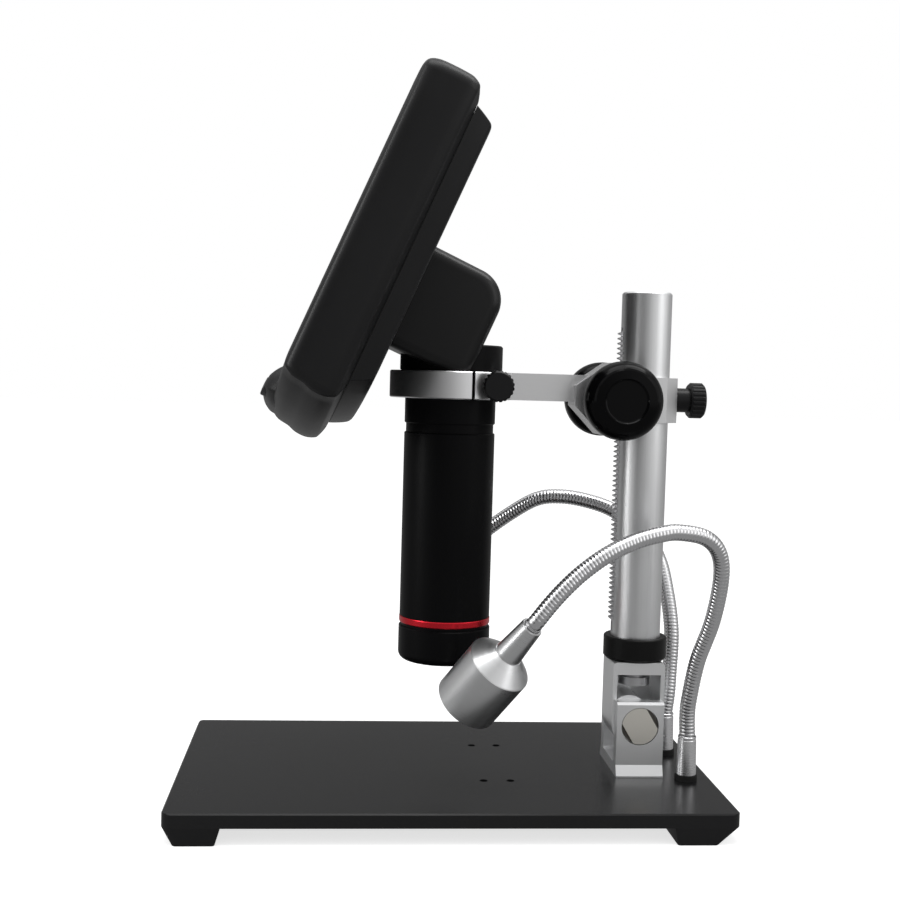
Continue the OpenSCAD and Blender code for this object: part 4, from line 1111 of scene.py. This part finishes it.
@dataclass
class ScreenHead(Assembly):
    """The screen housing with its chin of buttons, its rear cover and the neck that joins it to the barrel.

    Places on the screen are a depth behind its front, a place across it and a height on it. A profile's rows give
    a depth and then the numbers of the cross-section there.
    """

    looks = {
        PANEL: ("display_panel",),
        GLASS: ("screen_glass",),
        BOARD: ("main_board", "key_board", "sensor_board"),
        ZINC: ("board_screws",),
        PORT: ("port_socket",),
        BUTTON: tuple(f"button_{i}" for i in range(1, 6)),
    }
    origin: Point2 = (SCREEN_CENTRE[0], SCREEN_CENTRE[2])
    lean: float = SCREEN_LEAN
    width: float = 146.0
    up: float = 70.3
    down: float = 62.0
    chin_rise: float = 18.0
    sweep_end: float = 7.0
    low_corner: float = 4.0
    top_corner: float = 5.0
    least_corner: float = 0.6
    corner_drop: float = 0.5
    cover_depth: float = 30.2
    window: Point2 = (121.0, 76.0)
    window_mid: float = 12.0
    window_cut: Point2 = (-2.0, 8.0)
    glass_cut: Point2 = (-2.0, 2.2)
    glass_margin: float = 2.5
    port_cut: Point2 = (10.4, 14.0)
    port_heights: Point2 = (7.3, 16.7)
    port_reach: float = 12.0
    key_u: float = -50.2
    key_pitch: float = 14.0
    key_hole: float = 3.5
    key_cut: Point2 = (-6.0, 5.0)
    screws: tuple[Point2, ...] = ((-48.0, -24.0), (48.0, -24.0), (-48.0, 40.0), (48.0, 40.0))
    screw_hole: Point2 = (2.9, 1.6)
    slot: Triple = (7.0, 0.6, 1.0)
    slot_across: float = 38.0
    neck_width: float = 41.1
    neck_reach: float = 62.0
    neck_low: float = -18.4
    neck_high: float = 21.2
    neck_corner: float = 12.0
    neck_toe: float = 2.0
    neck_slope: float = 0.4
    neck_gap: float = 0.02
    neck_fillet: float = 4.6
    cap_radius: float = 19.4
    cap_top: float = 172.32
    neck_floor: float = 162.5
    frame_profile: tuple[Triple, ...] = (
        (0.9, 11.0, 11.0), (0.9, 9.0, 9.0), (1.4, 4.0, 5.4), (2.6, 1.5, 3.6), (5.5, 0.3, 1.9), (9.5, 0.0, 1.3),
        (12.5, 0.0, 0.3), (15.5, 0.1, 0.0), (18.0, 0.4, 0.3), (20.5, 1.7, 1.4), (21.4, 3.4, 2.6), (22.5, 6.2, 6.0),
        (22.7, 7.6, 9.0), (22.7, 11.0, 11.0),
    )  # fmt: skip
    cover_profile: tuple[Triple, ...] = (
        (22.83, 10.5, 10.5), (22.83, 7.7, 9.0), (23.3, 7.6, 8.8), (27.6, 9.3, 10.9), (29.6, 10.5, 12.6),
        (30.2, 12.6, 15.0), (30.2, 18.0, 18.0),
    )  # fmt: skip
    chin_profile: tuple[tuple[float, float, float, float], ...] = (
        (-3.2, 31.5, -3.8, 3.6), (-2.9, 33.2, -4.7, 4.8), (-1.6, 35.8, -6.4, 7.2), (0.2, 38.0, -7.8, 9.4),
        (2.2, 39.5, -8.6, 10.6), (6.0, 39.5, -8.6, 10.6),
    )  # fmt: skip

    def at(self, depth: float, across: float, up: float) -> Vector:
        """Turns a place on the screen into a point in the row frame.

        Args:
            depth: Depth behind the screen's front.
            across: Place across the screen.
            up: Height on the screen.

        Returns:
            The point.
        """
        a = math.radians(self.lean)
        x = self.origin[0] + depth * math.cos(a) + up * math.sin(a)
        return Vector((x, across, self.origin[1] - depth * math.sin(a) + up * math.cos(a)))

    def outline(self, inset: float, lift: float) -> list[Point2]:
        """Draws the housing's outline as seen from the front.

        Args:
            inset: How far the sides and the top are drawn in.
            lift: How far the lower edge is drawn up.

        Returns:
            The outline.
        """
        inset = max(inset, 0.0)
        half = self.width / 2
        low = max(self.low_corner - inset, self.least_corner)
        top = max(self.top_corner - inset, self.least_corner)
        sweep = half - self.sweep_end
        points = [
            ((sweep - inset) * i / 16, lift - self.down + self.chin_rise * ((sweep - inset) * i / 16 / sweep) ** 2)
            for i in range(17)
        ]
        points += arc((half - inset - low, low + lift - self.down + self.chin_rise - self.corner_drop), low, -60, 0, 10)
        side_low, side_high = points[-1][1], self.up - inset - top
        points += [(half - inset, side_low + (side_high - side_low) * i / 8) for i in range(1, 8)]
        points += arc((half - inset - top, side_high), top, 0, 90, 12)
        reach = half - inset - top
        points += [(reach * (1 - i / 8), self.up - inset) for i in range(1, 9)]
        return points + [(-y, u) for y, u in points[-2:0:-1]]

    def lozenge(self, half: float, low: float, high: float) -> list[Point2]:
        """Draws a lozenge with round ends, bent below its middle like the housing's lower edge.

        Args:
            half: Half its length.
            low: Its lower edge, counted from the buttons' height.
            high: Its upper edge, counted likewise.

        Returns:
            The outline.
        """
        r = (high - low) / 2
        middle = self.key_u + low + r
        flat = [((half - r) * i / 8, middle - r) for i in range(-8, 8)] + arc((half - r, middle), r, -90, 90, 16)
        flat += arc((r - half, middle), r, 90, 250, 15)
        rise = self.chin_rise / (self.width / 2 - self.sweep_end) ** 2
        return [(y, u + rise * y * y * max(0.0, middle - u) / r) for y, u in flat]

    def skin(self, name: str, profile: Iterable[Sequence[float]], section: Callable[..., list[Point2]]) -> Piece:
        """Makes a solid whose cross-section changes smoothly with its depth.

        Args:
            name: The solid's name.
            profile: The profile's rows.
            section: Draws the cross-section of a row's numbers.

        Returns:
            The solid.
        """
        rows = catmull([Vector(row) for row in profile], 4)
        return loft(name, [[self.at(row[0], y, u) for y, u in section(*row[1:])] for row in rows])

    def prism(self, name: str, outline: Sequence[Point2], depths: Point2) -> Piece:
        """A straight solid that stands square to the screen, between two depths."""
        return loft(name, [[self.at(d, y, u) for y, u in outline] for d in depths])

    def box(self, name: str, depths: Point2, half: float, heights: Point2, middle: float = 0.0) -> Piece:
        """A box on the screen, between two depths and two heights."""
        (low, high), left, right = heights, middle - half, middle + half
        return self.prism(name, [(left, low), (right, low), (right, high), (left, high)], depths)

    def build_frame(self) -> Piece:
        """Builds the front frame with its window, chin and button holes.

        Returns:
            The frame.
        """
        frame = self.skin("screen_front_frame", self.frame_profile, self.outline)
        combine(frame, [self.skin("chin", self.chin_profile, self.lozenge)], "UNION")
        half, tall, margin = self.window[0] / 2, self.window[1] / 2, self.glass_margin
        low, high = self.window_mid - tall, self.window_mid + tall
        cuts = [
            self.box("cut_window", self.window_cut, half, (low, high)),
            self.box("cut_glass", self.glass_cut, half + margin, (low - margin, high + margin)),
            self.box("cut_port", self.port_cut, self.port_reach, self.port_heights, self.width / 2),
        ]
        keys = [(i * self.key_pitch, self.key_u) for i in range(-2, 3)]
        cuts += [self.prism("cut_key", circle(key, self.key_hole, 48), self.key_cut) for key in keys]
        combine(frame, cuts)
        return frame

    def build_cover(self) -> Piece:
        """Builds the rear cover with its screw recesses and sound slots.

        Returns:
            The cover.
        """
        cover = self.skin("screen_rear_cover", self.cover_profile, self.outline)
        back, past = self.cover_depth, self.cover_depth + 2
        radius, deep = self.screw_hole
        cuts = [self.prism("cut_screw", circle(screw, radius, 48), (back - deep, past)) for screw in self.screws]
        half, tall, deep = self.slot
        cuts += [
            self.box("cut_slot", (back - deep, past), half, (u - tall, u + tall), side * self.slot_across)
            for side in (-1, 1)
            for u in (-6, -3, 0, 3, 6)
        ]
        combine(cover, cuts)
        return cover

    def neck_side(self, inset: float) -> list[Point2]:
        """Draws the neck as seen from its side.

        Args:
            inset: How far its edges are drawn in.

        Returns:
            The outline, each point by its depth and its height on the screen.
        """
        front, rear, toe = self.cover_depth + self.neck_gap, self.neck_reach - inset, self.neck_toe
        low, top = self.neck_low + inset, self.neck_high - inset
        corner = max(self.neck_corner - inset, 1.0)
        points: list[Point2] = [(front + (rear - toe - front) * i / 6, low) for i in range(7)]
        points += arc((rear - toe, low + toe), toe, -75, 0, 5)
        points += arc((rear - corner, top - corner), corner, 0, 90, 16)
        slope = self.neck_slope
        points += [(rear - corner + (front - rear + corner) * i / 6, top + slope * i / 6) for i in range(1, 7)]
        return points

    def build_neck(self) -> Piece:
        """Builds the neck, cut away where it sits on the barrel's cap.

        Returns:
            The neck.
        """
        half, radius, steps = self.neck_width / 2, self.neck_fillet, 10
        turns = [math.radians(90 * i / steps) for i in range(steps + 1)]
        slices = [(-half + radius * (1 - math.cos(a)), radius * (1 - math.sin(a))) for a in turns]
        slices += [(-y, inset) for y, inset in reversed(slices)]
        neck = loft("neck", [[self.at(d, y, u) for d, u in self.neck_side(inset)] for y, inset in slices])
        # Both cutters start well below the neck, and the square one reaches well past it.
        seat = upright("cut_seat", circle(BARREL_CENTRE[:2], self.cap_radius, 96), (120.0, self.cap_top))
        below = upright("cut_low", [(x * 90, y * 50) for x, y in SQUARE], (100.0, self.neck_floor))
        combine(neck, [seat, below])
        return neck

    def build(self) -> None:
        """Builds the housing and the neck."""
        for piece, finish, node in (
            (self.build_frame(), HOUSING, "lcd_front_frame"),
            (self.build_cover(), HOUSING, "lcd_rear_cover"),
            # The neck's black is darkened as painted shade.
            (self.build_neck(), NECK_SHADED_BLACK, "neck_housing"),
        ):
            smooth(piece, 28.0)
            paint(piece, finish)
            self.add(piece, "head", "housing_black", [node])


@dataclass
class GooseneckLamp(Assembly):
    """One lamp on its wound gooseneck, in its socket on the plate."""

    lamp: Lamp
    recipe: Recipe
    foot_x: float = 90.3
    foot_z: float = 11.1
    socket_top: float = 27.8
    socket_depth: float = 3.0
    play: float = 0.02
    lamp_length: float = 43.0
    outer_radius: float = 2.99
    pitch: float = 1.33
    groove_depth: float = 0.14
    groove_sharpness: float = 2.5

    def line(self) -> list[Vector]:
        """Draws the gooseneck's middle line, from inside its socket to inside its lamp.

        Returns:
            The line's points.
        """
        foot, depth = Vector((self.foot_x, self.lamp.socket_y, self.foot_z)), self.socket_depth
        low = self.socket_top - depth + self.play - self.foot_z
        tip = self.lamp_length - depth + self.play
        points = [foot + Vector((0, 0, low + rise)) for rise in (0.0, depth / 2, depth)]
        points += [foot + Vector(b) for b in self.lamp.bends]
        points += [self.lamp.point(tip + more) for more in (depth * 2, depth, depth / 2, 0.0)]
        return catmull(points, 12)

    @staticmethod
    def hose_recipe() -> Recipe:
        """Builds the tree that sweeps a tube along a line, with one shallow groove winding round it.

        Returns:
            The tree, with its sizes in metres.
        """
        r = Recipe("Wound hose")
        pitch, radius, depth, sharpness = map(r.size, ("Pitch", "Radius", "Groove depth", "Groove sharpness"))
        line = r.signal("GeometryNodeMeshToCurve", sockets={"Mesh": r.base})
        fine = r.signal("GeometryNodeResampleCurve", {"mode": "LENGTH"}, {"Curve": line, "Length": pitch / 7.0})
        along = r.signal("GeometryNodeSplineParameter", output="Length")
        spine = r.keep(fine, "along", along)
        ring = r.signal("GeometryNodeCurvePrimitiveCircle", sockets={"Resolution": 22, "Radius": radius})
        around = r.signal("GeometryNodeSplineParameter", output="Factor")
        section = r.keep(ring, "around", around)
        tube = r.signal(
            "GeometryNodeCurveToMesh", sockets={"Curve": spine, "Profile Curve": section, "Fill Caps": True}
        )
        turn = (r.kept("along") / pitch + r.kept("around")) * (2 * math.pi)
        groove = (turn.cosine() * 0.5 + 0.5).power(sharpness)
        normal = r.signal("GeometryNodeInputNormal")
        inwards = r.vector("SCALE", {0: normal, "Scale": groove * depth * -1.0})
        pressed = r.signal("GeometryNodeSetPosition", sockets={"Geometry": tube, "Offset": inwards})
        smoothed = r.signal("GeometryNodeSetShadeSmooth", sockets={"Geometry": pressed, "Shade Smooth": True})
        r.end(smoothed, GOOSENECK)
        return r

    def build(self) -> None:
        """Sweeps the gooseneck."""
        line = self.line()
        path = new_object("path", line, [], [(i, i + 1) for i in range(len(line) - 1)])
        sizes = {
            "Pitch": self.pitch * MM,
            "Radius": self.outer_radius * MM,
            "Groove depth": self.groove_depth * MM,
            "Groove sharpness": self.groove_sharpness,
        }
        hose = self.recipe.run(f"{self.lamp.side}_wound_gooseneck", path, sizes)
        self.add(hose, "base", "gooseneck_chrome", [f"{self.lamp.side}_gooseneck"])

    def dress(self) -> None:
        """Gives the socket and the lamp's body turned metal, with rings about their own axes."""
        lamp = self.lamp
        metal = TurnedMetal(
            f"Turned aluminium {lamp.side}", (0.62, 0.625, 0.63), 0.3, metallic=1.0, centre=lamp.rim, turn=lamp.turn(),
            contrast=0.16,
        )  # fmt: skip
        socket_metal = TurnedMetal(
            f"Socket aluminium {lamp.side}", (0.72, 0.72, 0.73), 0.28, metallic=1.0,
            centre=(self.foot_x, lamp.socket_y, 0),
        )  # fmt: skip
        for part, finish in (("socket", socket_metal), ("ferrule", metal), ("shell", metal)):
            paint(self.nodes[f"{lamp.side}_lamp_{part}"], finish)


@dataclass
class LampFittings(Assembly):
    """What the two lamps share: lenses, boards, grommets and nuts."""

    looks = {
        OPTIC: ("lamp_lenses",),
        LAMP_BOARD: ("lamp_led_boards",),
        GROMMET: ("lamp_grommets",),
        ZINC: ("lamp_base_nuts",),
    }


# ---- studio


@dataclass
class Aimed:
    """A rectangle in the studio, in metres, that faces a point."""

    name: str
    place: Triple
    aim: Triple
    width: float
    height: float

    def facing(self, axis: str) -> Quaternion:
        """The turn that points one of its axes at its aim."""
        return (Vector(self.aim) - Vector(self.place)).to_track_quat(axis, "Y")


@dataclass
class SoftBox(Aimed):
    """A rectangular studio lamp."""

    power: float

    def build(self) -> None:
        """Makes the lamp and turns it to its aim."""
        light = bpy.data.lights.new(self.name, "AREA")
        light.shape = "RECTANGLE"
        light.size, light.size_y = self.width, self.height
        light.energy = self.power
        lamp = bpy.data.objects.new(self.name, light)
        lamp.location = self.place
        lamp.rotation_euler = self.facing("-Z").to_euler()
        bpy.context.scene.collection.objects.link(lamp)


@dataclass
class Card(Aimed):
    """A glowing card that only reflections see, with one shade or several from its left to its right."""

    shades: tuple[Point2, ...]

    def build(self) -> None:
        """Makes the card and turns it to its aim."""
        look = self.facing("Z").to_matrix()
        points = [
            (Vector(self.place) + look @ Vector((x * self.width / 2, y * self.height / 2, 0))) / MM for x, y in SQUARE
        ]
        card = new_object(self.name, points, [(0, 1, 2, 3)])
        pattern = Pattern(self.name)
        tone: Sequence[float] | Signal = (self.shades[0][1],) * 3 + (1.0,)
        if len(self.shades) > 1:
            side = pattern.parts(pattern.place())[0] * (1.0 / self.width) + 0.5
            ramp = pattern.node("ShaderNodeValToRGB", sockets={0: side})
            stops = ramp.color_ramp.elements
            for _ in self.shades[2:]:
                stops.new(1.0)
            for stop, (place, shade) in zip(stops, self.shades, strict=True):
                stop.position, stop.color = place, (shade, shade, shade, 1.0)
            tone = Signal(pattern, ramp.outputs[0])
        pattern.show(pattern.signal("ShaderNodeEmission", sockets={"Color": tone, "Strength": 1.0}))
        card.data.materials.append(pattern.material)
        for rays in ("camera", "diffuse", "shadow", "transmission"):
            setattr(card, f"visible_{rays}", False)


@dataclass
class Studio:
    """The camera, the lamps, the cards, the world and the floor.

    Lengths are in metres here, and only the floor's are in millimetres. The floor's glow is its strength for the
    camera and for reflections.
    """

    focal: float = 51.781
    sensor: float = 36.0
    eye: Triple = (-0.042175, -0.489456, 0.159716)
    right: Triple = (0.9962, -0.0820, 0.0283)
    down: Triple = (0.0236, -0.0574, -0.9981)
    forward: Triple = (0.0835, 0.9950, -0.0552)
    world_light: float = 0.62
    floor_reach: float = 6000.0
    floor_drop: float = 0.05
    floor_tones: Point2 = (0.62, 0.64)
    floor_glow: Point2 = (0.71, 0.1)
    boxes: tuple[SoftBox, ...] = (
        SoftBox("Top box", (-0.05, -0.15, 0.95), (0.0, 0.0, 0.1), 0.5, 0.5, 3.2),
        SoftBox("Left box", (-1.0, -0.25, 0.50), (0.0, 0.0, 0.15), 0.25, 0.9, 2.3),
        SoftBox("Right box", (0.95, -0.55, 0.50), (0.0, 0.0, 0.12), 0.5, 0.8, 1.2),
    )
    cards: tuple[Card, ...] = (
        Card(
            "Front card", (0.0, -1.6, 0.45), (0.0, 0.0, 0.15), 3.2, 1.6,
            ((0.0, 0.05), (0.22, 0.09), (0.5, 0.42), (0.72, 0.85), (1.0, 0.9)),
        ),
        Card("Back card", (0.0, 1.3, 0.5), (0.0, 0.0, 0.15), 3.4, 1.2, ((0.0, 0.28),)),
        Card("Right flag", (1.09, 0.41, 0.4), (0.07, 0.0, 0.15), 0.6, 1.0, ((0.0, 0.4),)),
        Card("Left flag", (-1.0, 0.41, 0.4), (0.0, 0.0, 0.15), 0.6, 1.0, ((0.0, 0.4),)),
        Card("Upper right card", (0.42, 0.0, 0.92), (0.0, 0.0, 0.2), 0.35, 0.5, ((0.0, 6.0),)),
        Card("Left edge card", (-0.9, -0.22, 0.45), (0.0, 0.0, 0.2), 0.2, 0.8, ((0.0, 8.0),)),
        Card("Low card", (0.0, 0.0, -0.00003), (0.0, 0.0, 1.0), 5.0, 5.0, ((0.0, 0.34),)),
    )  # fmt: skip

    def build_camera(self) -> None:
        """Makes the camera."""
        data = bpy.data.cameras.new("Camera")
        data.lens, data.sensor_width = self.focal, self.sensor
        data.clip_start, data.clip_end = 0.01, 50.0
        camera = bpy.data.objects.new("Camera", data)
        bpy.context.scene.collection.objects.link(camera)
        axes = Matrix([self.right, [-x for x in self.down], [-x for x in self.forward]]).transposed()
        camera.matrix_world = Matrix.Translation(self.eye) @ axes.to_4x4()
        bpy.context.scene.camera = camera

    def build_world(self) -> None:
        """Makes a world that looks white and lights the object at a plain level."""
        world = bpy.data.worlds.new("Studio")
        bpy.context.scene.world = world
        world.use_nodes = True
        world.node_tree.nodes.clear()
        sheet = NodeSheet(world.node_tree)
        rays = sheet.node("ShaderNodeLightPath")
        seen = Signal(sheet, rays.outputs["Is Camera Ray"])
        for ray in ("Is Glossy Ray", "Is Transmission Ray"):
            seen = seen.or_more(Signal(sheet, rays.outputs[ray]))
        strength = seen * (1.0 - self.world_light) + self.world_light
        back = sheet.signal("ShaderNodeBackground", sockets={"Color": WHITE, "Strength": strength})
        sheet.node("ShaderNodeOutputWorld", sockets={"Surface": back})

    def build_floor(self) -> None:
        """Makes a wide pale floor that keeps the object's shadow."""
        corner_points = [Vector((x * self.floor_reach, y * self.floor_reach, -self.floor_drop)) for x, y in SQUARE]
        floor = new_object("Floor", corner_points, [(0, 1, 2, 3)])
        pattern = Pattern("Pale floor")
        rays = pattern.node("ShaderNodeLightPath")
        tone = pattern.blend(pattern.noise(pattern.place(), 300.0), *((shade,) * 3 for shade in self.floor_tones))
        matt = pattern.signal("ShaderNodeBsdfDiffuse", sockets={"Color": tone})
        by_camera, by_mirror = (Signal(pattern, rays.outputs[f"Is {ray} Ray"]) for ray in ("Camera", "Glossy"))
        seen = by_camera * self.floor_glow[0] + by_mirror * self.floor_glow[1]
        glow = pattern.signal("ShaderNodeEmission", sockets={"Color": WHITE, "Strength": seen})
        pattern.show(pattern.signal("ShaderNodeAddShader", sockets={0: matt, 1: glow}))
        floor.data.materials.append(pattern.material)

    def build(self) -> None:
        """Makes the whole studio."""
        self.build_camera()
        self.build_world()
        self.build_floor()
        for fitting in (*self.boxes, *self.cards):
            fitting.build()
        bpy.context.scene.view_settings.view_transform = "Standard"


# ---- the whole object


def main() -> None:
    """Loads the frame, builds and dresses each sub-assembly and sets up the studio."""
    logging.basicConfig(level=logging.INFO, format="%(name)s: %(message)s")
    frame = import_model()
    nodes = frame["nodes"]
    Studio().build()
    recipe = GooseneckLamp.hose_recipe()
    assemblies: list[Assembly] = [
        BaseUnit(nodes),
        TiltBracket(nodes),
        Column(nodes),
        FocusDrive(nodes),
        OpticalBarrel(nodes),
        ScreenHead(nodes),
        *(GooseneckLamp(nodes, lamp, recipe) for lamp in Lamp),
        LampFittings(nodes),
    ]
    for assembly in assemblies:
        assembly.build()
        assembly.dress()
        LOG.info("%s is dressed", type(assembly).__name__)


if __name__ == "__main__":
    main()
